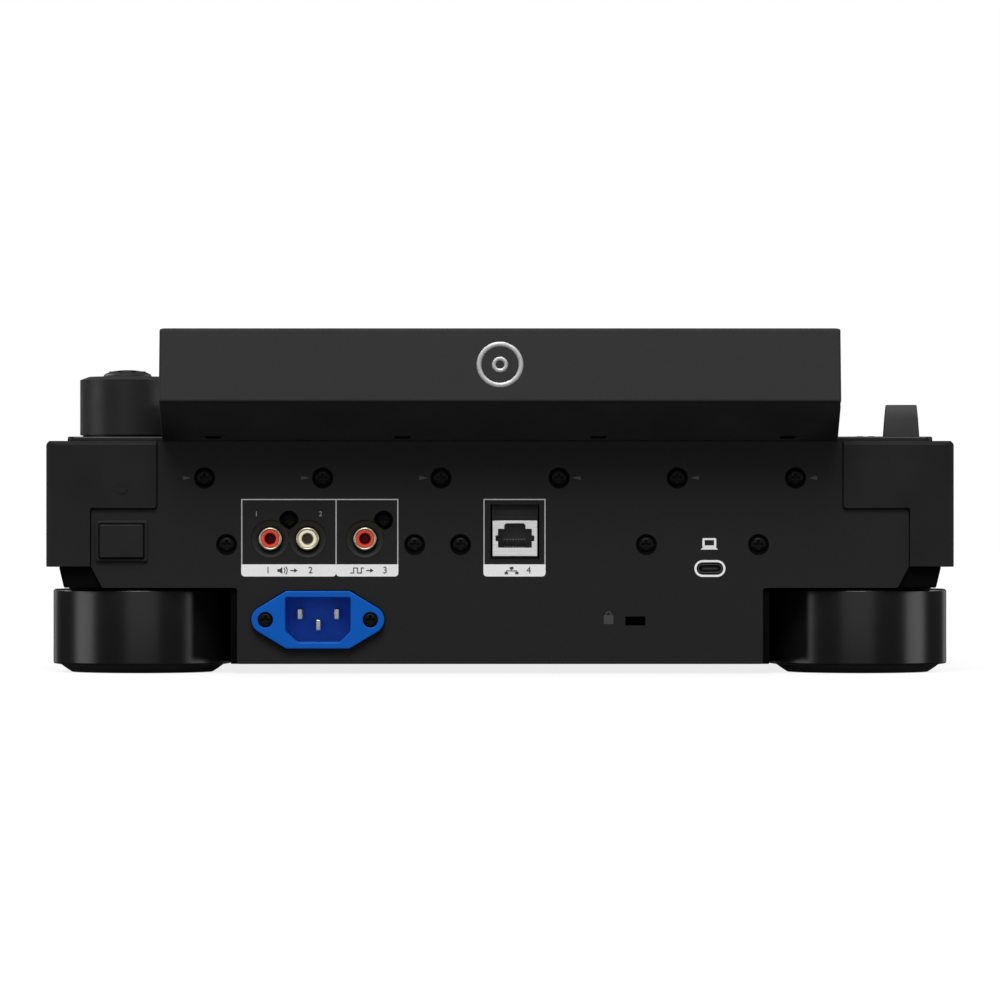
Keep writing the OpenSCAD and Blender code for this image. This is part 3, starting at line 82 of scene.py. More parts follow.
class Graph:
    """Small helper that wires the nodes of one material."""

    def __init__(self, name: str) -> None:
        """Start an empty material.

        Args:
            name: Name of the material.
        """
        self.material = bpy.data.materials.new(name)
        self.material.use_nodes = True
        self.tree = self.material.node_tree
        self.tree.nodes.clear()
        self.output = self.add("ShaderNodeOutputMaterial")
        self.shader = self.add("ShaderNodeBsdfPrincipled")
        self.tree.links.new(self.shader.outputs["BSDF"], self.output.inputs["Surface"])
        self.place = self.add("ShaderNodeTexCoord").outputs["Object"]

    def add(self, kind: str) -> bpy.types.Node:
        """Add a node of the given kind."""
        return self.tree.nodes.new(kind)

    def link(self, start: bpy.types.NodeSocket, end: bpy.types.NodeSocket) -> None:
        """Join two sockets."""
        self.tree.links.new(start, end)

    def moved(self, centre: Point = (0.0, 0.0, 0.0), scale: Point = (1.0, 1.0, 1.0)) -> bpy.types.NodeSocket:
        """Object coordinates about a centre, stretched.

        Args:
            centre: Point that becomes the pattern's origin.
            scale: Stretch along each axis, after the centring.

        Returns:
            The socket that carries the coordinates.
        """
        shift = self.add("ShaderNodeMapping")
        shift.inputs["Location"].default_value = [-c * s for c, s in zip(centre, scale)]
        shift.inputs["Scale"].default_value = scale
        self.link(self.place, shift.inputs["Vector"])
        return shift.outputs["Vector"]

    def noise(self, scale: float, detail: float = 2.0, where: Optional[bpy.types.NodeSocket] = None,
              rough: float = 0.5) -> bpy.types.NodeSocket:
        """A noise pattern's value.

        Args:
            scale: Lumps per metre.
            detail: Octaves of the noise.
            where: Coordinates, or None for plain object coordinates.
            rough: Weight of the finer octaves.

        Returns:
            The socket with the value from 0 to 1.
        """
        node = self.add("ShaderNodeTexNoise")
        node.inputs["Scale"].default_value = scale
        node.inputs["Detail"].default_value = detail
        node.inputs["Roughness"].default_value = rough
        self.link(where or self.place, node.inputs["Vector"])
        return node.outputs["Fac"]

    def ramp(self, value: bpy.types.NodeSocket, low: float, high: float, to_low: float = 0.0,
             to_high: float = 1.0) -> bpy.types.NodeSocket:
        """Map a value from one range to another, clamped."""
        node = self.add("ShaderNodeMapRange")
        for key, number in zip(("From Min", "From Max", "To Min", "To Max"), (low, high, to_low, to_high)):
            node.inputs[key].default_value = number
        self.link(value, node.inputs["Value"])
        return node.outputs["Result"]

    def colours(self, value: bpy.types.NodeSocket, dark: Sequence[float], light: Sequence[float]) -> None:
        """Drive the base colour between two colours by a value."""
        node = self.add("ShaderNodeMix")
        node.data_type = "RGBA"
        node.inputs["A"].default_value = (*dark, 1.0)
        node.inputs["B"].default_value = (*light, 1.0)
        self.link(value, node.inputs["Factor"])
        self.link(node.outputs["Result"], self.shader.inputs["Base Color"])

    def shades(self, value: bpy.types.NodeSocket, colour: Sequence[float], dark: float, light: float = 1.0,
               lift: float = 0.0) -> None:
        """Vary a colour's strength by a value.

        Args:
            value: Pattern from 0 to 1.
            colour: The colour.
            dark: Strength where the pattern is 0.
            light: Strength where the pattern is 1.
            lift: Grey that is added where the pattern is 1.
        """
        self.colours(value, [c * dark for c in colour], [min(1.0, c * light + lift) for c in colour])

    def sheen(self, value: bpy.types.NodeSocket, low: float, high: float, smooth: float,
              rough: float) -> None:
        """Vary the roughness as a value goes from low to high."""
        self.link(self.ramp(value, low, high, smooth, rough), self.shader.inputs["Roughness"])

    def bump(self, value: bpy.types.NodeSocket, height: float, strength: float) -> None:
        """Raise the surface by a pattern, to a height in metres, with a share of the effect."""
        node = self.add("ShaderNodeBump")
        node.inputs["Strength"].default_value = strength
        node.inputs["Distance"].default_value = height
        self.link(value, node.inputs["Height"])
        self.link(node.outputs["Normal"], self.shader.inputs["Normal"])

    def gloss(self, metal: float, specular: float, coat: float = 0.0, coat_rough: float = 0.1) -> None:
        """Set the constant gloss values on the shader's own sockets."""
        self.shader.inputs["Metallic"].default_value = metal
        self.shader.inputs["Specular IOR Level"].default_value = specular
        self.shader.inputs["Coat Weight"].default_value = coat
        self.shader.inputs["Coat Roughness"].default_value = coat_rough


@dataclass(frozen=True)
class Moulding:
    """Moulded plastic with a fine spark-eroded grain and a little unevenness in its sheen."""

    name: str
    colour: Point
    rough: float = 0.55
    specular: float = 0.25
    grain: float = 2600.0
    depth: float = 0.00003
    spread: float = 0.16

    def build(self) -> bpy.types.Material:
        """Make the material."""
        g = Graph(self.name)
        g.shades(g.ramp(g.noise(38.0, 3.0), 0.3, 0.7), self.colour, 1 - self.spread, 1 + self.spread)
        g.sheen(g.noise(120.0, 4.0), 0.25, 0.75, self.rough - 0.05, self.rough + 0.05)
        g.bump(g.noise(self.grain, 2.0), self.depth, 0.6)
        g.gloss(0.0, self.specular)
        return g.material


@dataclass(frozen=True)
class PowderCoat:
    """Baked coat on sheet metal: fine orange peel, tiny lighter grains."""

    name: str
    colour: Point
    rough: float = 0.5
    specular: float = 0.3
    peel: float = 1500.0
    depth: float = 0.00004

    def build(self) -> bpy.types.Material:
        """Make the material."""
        g = Graph(self.name)
        g.shades(g.ramp(g.noise(5200.0, 1.0), 0.55, 0.8), self.colour, 1.0, 1.5, 0.002)
        g.sheen(g.noise(60.0, 3.0), 0.3, 0.7, self.rough - 0.06, self.rough + 0.06)
        g.bump(g.noise(self.peel, 3.0), self.depth, 0.5)
        g.gloss(0.0, self.specular)
        return g.material


@dataclass(frozen=True)
class Gloss:
    """Polished plastic or lacquer with faint waviness and handling haze."""

    name: str
    colour: Point
    rough: float = 0.14
    specular: float = 0.35
    wave: float = 45.0
    depth: float = 0.00003
    coat: float = 0.0

    def build(self) -> bpy.types.Material:
        """Make the material."""
        g = Graph(self.name)
        haze = g.noise(70.0, 5.0, rough=0.6)
        g.shades(g.ramp(haze, 0.3, 0.75), self.colour, 1.0, 1.12, 0.0006)
        g.sheen(haze, 0.3, 0.75, self.rough * 0.85, self.rough * 1.35)
        g.bump(g.noise(self.wave, 1.0), self.depth, 0.35)
        g.gloss(0.0, self.specular, self.coat, 0.05)
        return g.material


@dataclass(frozen=True)
class TwoTone:
    """Moulded plastic whose recessed parts are painted paler than its face: painted light inside the recess.
    """

    name: str
    colour: Point
    inner: Point
    face_y: float
    rough: float = 0.35
    specular: float = 0.2

    def build(self) -> bpy.types.Material:
        """Make the material."""
        g = Graph(self.name)
        parts = g.add("ShaderNodeSeparateXYZ")
        g.link(g.place, parts.inputs["Vector"])
        # Paler below the face: painted light in the recess.
        g.colours(g.ramp(parts.outputs["Y"], self.face_y - 2 * MM, self.face_y), self.inner, self.colour)
        g.sheen(g.noise(160.0, 4.0), 0.3, 0.7, self.rough * 0.9, self.rough * 1.2)
        g.bump(g.noise(2200.0, 2.0), 0.00002, 0.4)
        g.gloss(0.0, self.specular)
        return g.material


@dataclass(frozen=True)
class Rubber:
    """Soft rubber with a dusty, faintly speckled face."""

    name: str
    colour: Point
    rough: float = 0.8

    def build(self) -> bpy.types.Material:
        """Make the material."""
        g = Graph(self.name)
        g.shades(g.ramp(g.noise(900.0, 4.0), 0.35, 0.75), self.colour, 1.0, 1.7, 0.001)
        g.sheen(g.noise(200.0, 2.0), 0.3, 0.7, self.rough - 0.08, self.rough + 0.06)
        g.bump(g.noise(1800.0, 3.0), 0.00004, 0.5)
        g.gloss(0.0, 0.25)
        return g.material


@dataclass(frozen=True)
class Metal:
    """Bare or plated metal, drawn in one direction; matt tin is partly dull under its shine."""

    name: str
    colour: Point
    rough: float = 0.3
    draw: Point = (90.0, 90.0, 2400.0)
    depth: float = 0.00001
    metal: float = 1.0

    def build(self) -> bpy.types.Material:
        """Make the material."""
        g = Graph(self.name)
        lines = g.noise(1.0, 3.0, g.moved(scale=self.draw))
        g.shades(g.ramp(lines, 0.3, 0.7), self.colour, 0.86)
        g.sheen(lines, 0.3, 0.7, self.rough * 0.8, self.rough * 1.25)
        g.bump(lines, self.depth, 0.4)
        g.gloss(self.metal, 0.5)
        return g.material


@dataclass(frozen=True)
class Turned:
    """Anodised plate faced on a lathe: fine rings about a centre."""

    name: str
    colour: Point
    centre: Point
    rings: float = 1600.0
    rough: float = 0.34

    def build(self) -> bpy.types.Material:
        """Make the material."""
        g = Graph(self.name)
        wave = g.add("ShaderNodeTexWave")
        wave.wave_type = "RINGS"
        wave.rings_direction = "Z"
        wave.inputs["Scale"].default_value = self.rings / 6.0
        wave.inputs["Distortion"].default_value = 0.4
        wave.inputs["Detail"].default_value = 1.0
        g.link(g.moved(self.centre), wave.inputs["Vector"])
        rings = wave.outputs["Fac"]
        g.shades(rings, self.colour, 0.8, 1.2)
        g.sheen(rings, 0.0, 1.0, self.rough - 0.05, self.rough + 0.06)
        g.bump(rings, 0.00002, 0.5)
        g.gloss(0.75, 0.4)
        return g.material


@dataclass(frozen=True)
class Ink:
    """Screen print: pale ink with slightly uneven cover."""

    name: str
    colour: Point
    rough: float = 0.5

    def build(self) -> bpy.types.Material:
        """Make the material."""
        g = Graph(self.name)
        g.shades(g.ramp(g.noise(2600.0, 2.0), 0.3, 0.6), self.colour, 0.93)
        g.sheen(g.noise(500.0), 0.3, 0.7, self.rough - 0.05, self.rough + 0.05)
        g.bump(g.noise(3000.0), 0.00001, 0.3)
        g.gloss(0.0, 0.25)
        return g.material


@dataclass(frozen=True)
class CircuitBoard:
    """Solder mask with tracks and pads showing through."""

    name: str
    colour: Point

    def build(self) -> bpy.types.Material:
        """Make the material."""
        g = Graph(self.name)
        tracks = g.add("ShaderNodeTexBrick")
        tracks.inputs["Scale"].default_value = 180.0
        tracks.inputs["Mortar Size"].default_value = 0.06
        for key, share in (("Color1", 0.8), ("Color2", 1.0), ("Mortar", 1.9)):
            tracks.inputs[key].default_value = (*[c * share for c in self.colour], 1)
        g.link(g.place, tracks.inputs["Vector"])
        g.link(tracks.outputs["Color"], g.shader.inputs["Base Color"])
        g.sheen(g.noise(300.0), 0.3, 0.7, 0.3, 0.45)
        g.bump(tracks.outputs["Fac"], 0.00005, 0.4)
        g.gloss(0.0, 0.4)
        return g.material


@dataclass(frozen=True)
class Glass:
    """Tinted cover glass with a faint smear of handling."""

    name: str
    colour: Point
    rough: float = 0.03

    def build(self) -> bpy.types.Material:
        """Make the material."""
        g = Graph(self.name)
        smear = g.noise(25.0, 4.0)
        g.shades(g.ramp(smear, 0.35, 0.7), self.colour, 1.0, 0.92)
        g.sheen(smear, 0.35, 0.7, self.rough, self.rough * 2.5)
        g.shader.inputs["Transmission Weight"].default_value = 0.9
        g.shader.inputs["IOR"].default_value = 1.45
        g.gloss(0.0, 0.4)
        return g.material


@dataclass(frozen=True)
class Lamp:
    """Clear or tinted light guide, unlit, cloudy inside."""

    name: str
    colour: Point

    def build(self) -> bpy.types.Material:
        """Make the material."""
        g = Graph(self.name)
        cloud = g.ramp(g.noise(300.0, 3.0), 0.3, 0.7)
        g.shades(cloud, self.colour, 0.8)
        g.sheen(cloud, 0.0, 1.0, 0.25, 0.38)
        g.bump(g.noise(900.0, 2.0), 0.00001, 0.4)
        g.gloss(0.0, 0.4, 0.3)
        return g.material



# Modelling steps

TURNS = {Axis.UP: (0.0, 0.0, 0.0), Axis.BACK: (math.pi / 2, 0.0, 0.0), Axis.ACROSS: (0.0, math.pi / 2, 0.0)}
WELD = 2e-6
PRINT_RISE = 0.00006


def alone(*pieces: bpy.types.Object) -> None:
    """Select only the given pieces, with the first one active."""
    if bpy.context.object is not None and bpy.context.object.mode != "OBJECT":
        bpy.ops.object.mode_set(mode="OBJECT")
    bpy.ops.object.select_all(action="DESELECT")
    for piece in pieces:
        piece.select_set(True)
    bpy.context.view_layer.objects.active = pieces[0]


def settle(piece: bpy.types.Object, name: str) -> bpy.types.Object:
    """Move a piece's place, turn and size into its mesh and name it."""
    alone(piece)
    bpy.ops.object.transform_apply(location=True, rotation=True, scale=True)
    piece.name = name
    piece.data.name = name
    return piece


def block(name: str, low: Sequence[float], high: Sequence[float]) -> bpy.types.Object:
    """Add a box between two corners.

    Args:
        name: Name of the piece.
        low: Lowest corner.
        high: Highest corner.

    Returns:
        The new piece.
    """
    bpy.ops.object.select_all(action="DESELECT")
    bpy.ops.mesh.primitive_cube_add(size=1.0, location=[(a + b) / 2 for a, b in zip(low, high)])
    piece = bpy.context.object
    piece.scale = [b - a for a, b in zip(low, high)]
    return settle(piece, name)


def rod(name: str, start: Sequence[float], radius: float, length: float, axis: Axis = Axis.UP,
        sides: int = 48) -> bpy.types.Object:
    """Add a rod that runs from its start; at the back it runs forward, into the player.

    Args:
        name: Name of the piece.
        start: Middle of the first end.
        radius: Radius of the rod.
        length: Length of the rod.
        axis: Direction in which it runs.
        sides: Number of sides.

    Returns:
        The new piece.
    """
    bpy.ops.object.select_all(action="DESELECT")
    bpy.ops.mesh.primitive_cylinder_add(vertices=sides, radius=radius, depth=length,
                                        location=(0, 0, length / 2))
    piece = settle(bpy.context.object, name)
    return laid(piece, start, axis)


def laid(piece: bpy.types.Object, start: Sequence[float], axis: Axis) -> bpy.types.Object:
    """Turn a piece drawn about the origin to an axis and bring it to its place."""
    piece.rotation_euler = TURNS[axis]
    piece.location = start
    return settle(piece, piece.name)


def chain(points: Sequence[Sequence[float]]) -> bpy.types.Object:
    """Draw a chain of edges by extruding one vertex from point to point; it stays in edit mode."""
    bpy.ops.object.select_all(action="DESELECT")
    bpy.ops.mesh.primitive_plane_add(size=MM)
    bpy.ops.object.mode_set(mode="EDIT")
    bpy.ops.mesh.select_all(action="SELECT")
    bpy.ops.mesh.merge(type="CENTER")
    bpy.ops.transform.translate(value=points[0])
    for here, there in zip(points, points[1:]):
        step = [b - a for a, b in zip(here, there)]
        bpy.ops.mesh.extrude_region_move(TRANSFORM_OT_translate={"value": step})
    bpy.ops.mesh.select_all(action="SELECT")
    return bpy.context.object


def tidy_shell() -> None:
    """In edit mode: join doubled points and turn all faces outwards."""
    bpy.ops.mesh.select_all(action="SELECT")
    bpy.ops.mesh.remove_doubles(threshold=WELD)
    bpy.ops.mesh.normals_make_consistent(inside=False)
    bpy.ops.object.mode_set(mode="OBJECT")


def lathe(name: str, profile: Sequence[Flat], start: Sequence[float], axis: Axis = Axis.UP,
          steps: int = 72) -> bpy.types.Object:
    """Spin a profile of (radius, height) points; the height runs up, or out of the back.

    Args:
        name: Name of the piece.
        profile: Points from one end to the other, or a closed loop for a ring.
        start: Place of the profile's origin.
        axis: Direction of the spindle.
        steps: Copies round the spindle.

    Returns:
        The new piece.
    """
    out = -1.0 if axis is Axis.BACK else 1.0
    piece = chain([(r, 0.0, out * h) for r, h in profile])
    bpy.ops.mesh.spin(steps=steps, angle=2 * math.pi, center=(0, 0, 0), axis=(0, 0, 1))
    tidy_shell()
    piece.name = name
    return laid(piece, start, axis)


def plate(name: str, outline: Sequence[Flat], start: Sequence[float], depth: float,
          axis: Axis = Axis.BACK) -> bpy.types.Object:
    """Fill an outline and give it depth, upwards or from the back's face into the player.

    Args:
        name: Name of the piece.
        outline: Points of the outline, without the first one repeated.
        start: Place of the outline's origin.
        depth: Depth of the plate.
        axis: Direction in which the outline faces.

    Returns:
        The new piece.
    """
    piece = chain([(x, y, 0.0) for x, y in [*outline, outline[0]]])
    bpy.ops.mesh.remove_doubles(threshold=WELD)
    bpy.ops.mesh.edge_face_add()
    bpy.ops.mesh.extrude_region_move(TRANSFORM_OT_translate={"value": (0, 0, depth)})
    tidy_shell()
    piece.name = name
    return laid(piece, start, axis)


def deck_print(name: str, outline: Sequence[Flat], place: Point) -> bpy.types.Object:
    """Print an outline on a top face of the deck."""
    x, y, top = place
    return plate(name, outline, (x, y, top - PRINT_RISE), 2 * PRINT_RISE, Axis.UP)


def flat_ring(name: str, radii: Flat, heights: Flat, place: Point) -> bpy.types.Object:
    """Spin a ring with a square section about an upright spindle."""
    (inner, outer), (low, high) = radii, heights
    section = [(inner, low), (outer, low), (outer, high), (inner, high), (inner, low)]
    return smoothed(lathe(name, section, place, Axis.UP, 96))


def apply_modifiers(piece: bpy.types.Object) -> bpy.types.Object:
    """Apply every modifier of a piece."""
    alone(piece)
    for modifier in list(piece.modifiers):
        bpy.ops.object.modifier_apply(modifier=modifier.name)
    return piece


def cut(piece: bpy.types.Object, *tools: bpy.types.Object) -> bpy.types.Object:
    """Cut tools out of a piece; the tools are used up."""
    for tool in tools:
        step = piece.modifiers.new("cut", "BOOLEAN")
        step.operation = "DIFFERENCE"
        step.solver = "EXACT"
        step.object = tool
    apply_modifiers(piece)
    alone(*tools)
    bpy.ops.object.delete()
    return piece


def rounded(piece: bpy.types.Object, width: float, segments: int = 2, angle: float = 32.0,
            clamp: bool = True) -> bpy.types.Object:
    """Round every edge that is sharper than an angle in degrees, and smooth the shading."""
    bevel = piece.modifiers.new("edge", "BEVEL")
    bevel.width = width
    bevel.segments = segments
    bevel.limit_method = "ANGLE"
    bevel.angle_limit = math.radians(angle)
    bevel.use_clamp_overlap = clamp
    bevel.miter_outer = "MITER_ARC"
    apply_modifiers(piece)
    return flattened(smoothed(piece))


def flattened(piece: bpy.types.Object) -> bpy.types.Object:
    """Weigh the normals by face area, so that large faces stay flat beside their rounded edges."""
    weights = piece.modifiers.new("flat", "WEIGHTED_NORMAL")
    weights.weight = 100
    weights.keep_sharp = True
    return apply_modifiers(piece)


def smoothed(piece: bpy.types.Object, angle: float = 38.0) -> bpy.types.Object:
    """Shade a piece smooth except at edges sharper than an angle in degrees."""
    alone(piece)
    bpy.ops.object.shade_smooth_by_angle(angle=math.radians(angle))
    return piece


def joined(name: str, pieces: Sequence[bpy.types.Object]) -> bpy.types.Object:
    """Join pieces into one object."""
    alone(*pieces)
    if len(pieces) > 1:
        bpy.ops.object.join()
    return settle(bpy.context.object, name)


def copy_of(piece: bpy.types.Object, shift: Sequence[float]) -> bpy.types.Object:
    """Copy a piece with a mesh of its own, moved by a shift."""
    alone(piece)
    bpy.ops.object.duplicate(linked=False)
    twin = bpy.context.object
    twin.location = shift
    return settle(twin, piece.name)


def placed_copies(name: str, piece: bpy.types.Object, shifts: Iterable[Sequence[float]]) -> bpy.types.Object:
    """Copy one piece to several places, drop the model piece and join the copies."""
    copies = [copy_of(piece, shift) for shift in shifts]
    alone(piece)
    bpy.ops.object.delete()
    return joined(name, copies)


def softened(node: str, width: float, segments: int = 2, angle: float = 32.0,
             name: Optional[str] = None, upright: float = 0.0) -> bpy.types.Object:
    """Copy a CAD node's mesh, weld it and round its edges.

    Args:
        node: Name of the CAD node.
        width: Width of the rounding.
        segments: Steps of the rounding.
        angle: Sharper edges than this, in degrees, are rounded.
        name: Name of the copy, or None for the node's name with _shell.
        upright: Wider rounding of the two upright edges at the back.

    Returns:
        The new piece, at the node's place.
    """
    source = frame["nodes"][node]
    mesh = source.data.copy()
    mesh.transform(source.matrix_world)
    piece = bpy.data.objects.new(name or f"{node}_shell", mesh)
    bpy.context.scene.collection.objects.link(piece)
    alone(piece)
    bpy.ops.object.mode_set(mode="EDIT")
    bpy.ops.mesh.select_all(action="SELECT")
    bpy.ops.mesh.remove_doubles(threshold=5e-6)
    bpy.ops.mesh.tris_convert_to_quads(face_threshold=math.radians(0.5), shape_threshold=math.pi)
    if upright:
        shell = bmesh.from_edit_mesh(mesh)
        side = max(abs(v.co[0]) for v in shell.verts) - 0.1 * MM
        back = max(v.co[1] for v in shell.verts) - 0.1 * MM
        for edge in shell.edges:
            edge.select_set(all(abs(v.co.x) > side and v.co.y > back for v in edge.verts))
        bmesh.update_edit_mesh(mesh)
        bpy.ops.mesh.bevel(offset=upright, segments=4, affect="EDGES")
    bpy.ops.object.mode_set(mode="OBJECT")
    return rounded(piece, width, segments, angle, clamp=False)


Finish = Moulding | PowderCoat | Gloss | TwoTone | Rubber | Metal | Turned | Ink | CircuitBoard | Glass | Lamp


def made(finish: Finish) -> bpy.types.Material:
    """The material of a finish, built once."""
    return bpy.data.materials.get(finish.name) or finish.build()


def middle(node: str) -> Point:
    """Middle of a CAD node's box."""
    return tuple((a + b) / 2 for a, b in zip(*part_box(node)))


def top_of(node: str) -> Point:
    """Middle of the top of a CAD node's box."""
    return *middle(node)[:2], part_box(node)[1].z


def bar(low_x: float, low_y: float, high_x: float, high_y: float) -> list[Flat]:
    """Outline of a bar between two corners."""
    return [(low_x, low_y), (low_x, high_y), (high_x, high_y), (high_x, low_y)]


def arc(centre: Flat, radius: float, start: float, end: float, steps: int = 6) -> list[Flat]:
    """Points along an arc, from one angle to another in degrees."""
    turns = [math.radians(start + (end - start) * i / steps) for i in range(steps + 1)]
    return [(centre[0] + radius * math.cos(t), centre[1] + radius * math.sin(t)) for t in turns]


def rounded_rect(width: float, height: float, radius: float, steps: int = 5) -> list[Flat]:
    """Outline of a rounded rectangle about the origin."""
    x, y = width / 2 - radius, height / 2 - radius
    return [*arc((x, y), radius, 0, 90, steps), *arc((-x, y), radius, 90, 180, steps),
            *arc((-x, -y), radius, 180, 270, steps), *arc((x, -y), radius, 270, 360, steps)]


def eased(points: Sequence[Flat], reach: float) -> list[Flat]:
    """Round every corner of an outline, starting at a distance from the corner."""
    out: list[Flat] = []
    for before, corner, after in zip([points[-1], *points[:-1]], points, [*points[1:], points[0]]):
        here = Vector(corner)
        start, end = (here + (Vector(p) - here).normalized() * reach for p in (before, after))
        out += [tuple(start.lerp(here, t / 4).lerp(here.lerp(end, t / 4), t / 4)) for t in range(5)]
    return out


def stadium(width: float, height: float, steps: int = 10) -> list[Flat]:
    """Outline of a bar with round ends about the origin."""
    x, r = (width - height) / 2, height / 2
    return [*arc((x, 0), r, -90, 90, steps), *arc((-x, 0), r, 90, 270, steps)]


def numeral(name: str, text: str, height: float, place: Sequence[float], axis: Axis) -> bpy.types.Object:
    """Print plain digits, read from behind at the back and from the front on the deck.

    Args:
        name: Name of the piece.
        text: The digits.
        height: Height of a digit.
        place: Middle of the print.
        axis: Direction in which the print faces.

    Returns:
        The print as a mesh.
    """
    bpy.ops.object.select_all(action="DESELECT")
    bpy.ops.object.text_add(location=(0, 0, 0))
    piece = bpy.context.object
    piece.data.body = text
    piece.data.size = height * 1.37
    piece.data.align_x = "CENTER"
    piece.data.align_y = "CENTER"
    piece.data.extrude = PRINT_RISE / 2
    piece.data.resolution_u = 4
    bpy.ops.object.convert(target="MESH")
    piece = bpy.context.object
    piece.rotation_euler = (math.pi / 2, 0, math.pi) if axis is Axis.BACK else (0, 0, 0)
    piece.location = place
    return settle(piece, name)


# Finishes in use

CASE = Moulding("case_moulding", (0.0155, 0.0155, 0.0158), rough=0.6, specular=0.13)
PANEL = PowderCoat("panel_coat", (0.0165, 0.0165, 0.017), rough=0.62, specular=0.14)
DECK_PLATE = PowderCoat("plate_coat", (0.014, 0.014, 0.0145), rough=0.42, specular=0.3)
HOUSING = PowderCoat("housing_coat", (0.023, 0.023, 0.0235), rough=0.5, specular=0.18)
CHASSIS = PowderCoat("chassis_paint", (0.0022, 0.0022, 0.0023), rough=0.65, specular=0.03)
BASE = Moulding("base_moulding", (0.029, 0.029, 0.0295), rough=0.6, specular=0.1)
FOOT = Gloss("foot_gloss", (0.0015, 0.0015, 0.0017), rough=0.11, specular=0.45)
PAD = Rubber("pad_rubber", (0.006, 0.006, 0.006))
# The inlet's cavity is painted paler than its face: painted light in the cavity.
BLUE = TwoTone("inlet_blue", (0.0010, 0.104, 0.50), (0.036, 0.22, 0.84), 0.2006, rough=0.35, specular=0.14)
BLADE = Metal("blade_nickel", (0.72, 0.72, 0.73), rough=0.25)
JACK_BODY = Moulding("jack_black", (0.007, 0.007, 0.007), rough=0.5, specular=0.2)
SLEEVE = Metal("sleeve_nickel", (0.95, 0.84, 0.66), rough=0.42)
RED = Gloss("insert_red", (0.70, 0.075, 0.03), rough=0.4, specular=0.25)
CREAM = Gloss("insert_cream", (0.97, 0.94, 0.68), rough=0.35, specular=0.4)
SHIELD = Metal("socket_tin", (0.95, 0.95, 0.955), rough=0.3, metal=0.3)
GOLD = Metal("contact_gold", (0.85, 0.6, 0.25), rough=0.25)
SWITCH = Moulding("switch_black", (0.013, 0.013, 0.0135), rough=0.5, specular=0.25)
SCREW = PowderCoat("screw_oxide", (0.0035, 0.0035, 0.0037), rough=0.45, specular=0.17)
INNER = Moulding("inner_moulding", (0.02, 0.02, 0.021), rough=0.6)
# Far paler than the socket's dark moulding: painted light, so that the deep mouth renders grey.
MOUTH_LIT = Moulding("mouth_lit_grey", (0.20, 0.20, 0.205), rough=0.6)
INNER_METAL = Metal("inner_metal", (0.42, 0.43, 0.45), rough=0.38)
GRIP = Rubber("dial_grip", (0.0085, 0.0085, 0.009), rough=0.62)
KNOB = Moulding("knob_black", (0.0165, 0.0165, 0.017), rough=0.45, specular=0.4)
LEVER = Moulding("lever_grey", (0.046, 0.046, 0.0465), rough=0.55, specular=0.25)
CAP = Moulding("cap_black", (0.014, 0.014, 0.0145), rough=0.48, specular=0.3)
KEY = Moulding("key_dark", (0.026, 0.026, 0.027), rough=0.5, specular=0.28)
CUE_PAD = Rubber("cue_pad", (0.022, 0.022, 0.023), rough=0.6)
SMOKE = Gloss("button_smoke", (0.018, 0.018, 0.019), rough=0.22, specular=0.45)
BEZEL = Gloss("bezel_black", (0.006, 0.006, 0.0065), rough=0.3, specular=0.4)
EYE = Gloss("eye_cover", (0.003, 0.003, 0.0035), rough=0.06, specular=0.5)
LCD = Gloss("lcd_face", (0.010, 0.011, 0.013), rough=0.35, specular=0.3)
# Darker copies of the insert colours, for the cones and bore floors: painted shade inside the bores.
RED_SHADED = Gloss("insert_red_shaded", (0.23, 0.004, 0.009), rough=0.4, specular=0.2)
CREAM_SHADED = Gloss("insert_cream_shaded", (0.22, 0.19, 0.13), rough=0.4, specular=0.2)
DISH = Moulding("jack_dish", (0.032, 0.032, 0.029), rough=0.5, specular=0.15)
SURROUND = Moulding("socket_surround", (0.016, 0.016, 0.0165), rough=0.5, specular=0.2)
# Near-black for painted shade: the rings in the screw dishes, the rim round the inlet, the ring in the
# switch's gap and the spots on the selector's cap.
SHADE_BLACK = Moulding("painted_shade_black", (0.0018, 0.0018, 0.0018), rough=0.6, specular=0.05)
# Matt black for the ring on each foot's top: painted shade.
FOOT_TOP_SHADE = Rubber("foot_top_shade", (0.002, 0.002, 0.002), rough=0.9)
DIM_TIN = Metal("dim_tin", (0.22, 0.22, 0.225), rough=0.42)
SIGN = Metal("sign_silver", (0.50, 0.50, 0.505), rough=0.5)
INK_GREY = Ink("print_mid", (0.30, 0.30, 0.30))
INK_LINE = Ink("print_line", (0.50, 0.50, 0.50))
BOARD = CircuitBoard("board_green", (0.010, 0.10, 0.045))
INK = Ink("print_white", (0.93, 0.93, 0.93))
INK_DIM = Ink("print_grey", (0.062, 0.062, 0.062))
INK_DECK = Ink("print_deck", (0.30, 0.30, 0.30))
INK_DARK = Ink("print_dark", (0.055, 0.055, 0.055))
SCREEN_GLASS = Glass("screen_glass", (0.55, 0.56, 0.58))
LAMP_OFF = Lamp("lamp_clear", (0.16, 0.17, 0.17))
LAMP_GREEN = Lamp("lamp_green", (0.02, 0.22, 0.05))
LAMP_AMBER = Lamp("lamp_amber", (0.35, 0.16, 0.02))


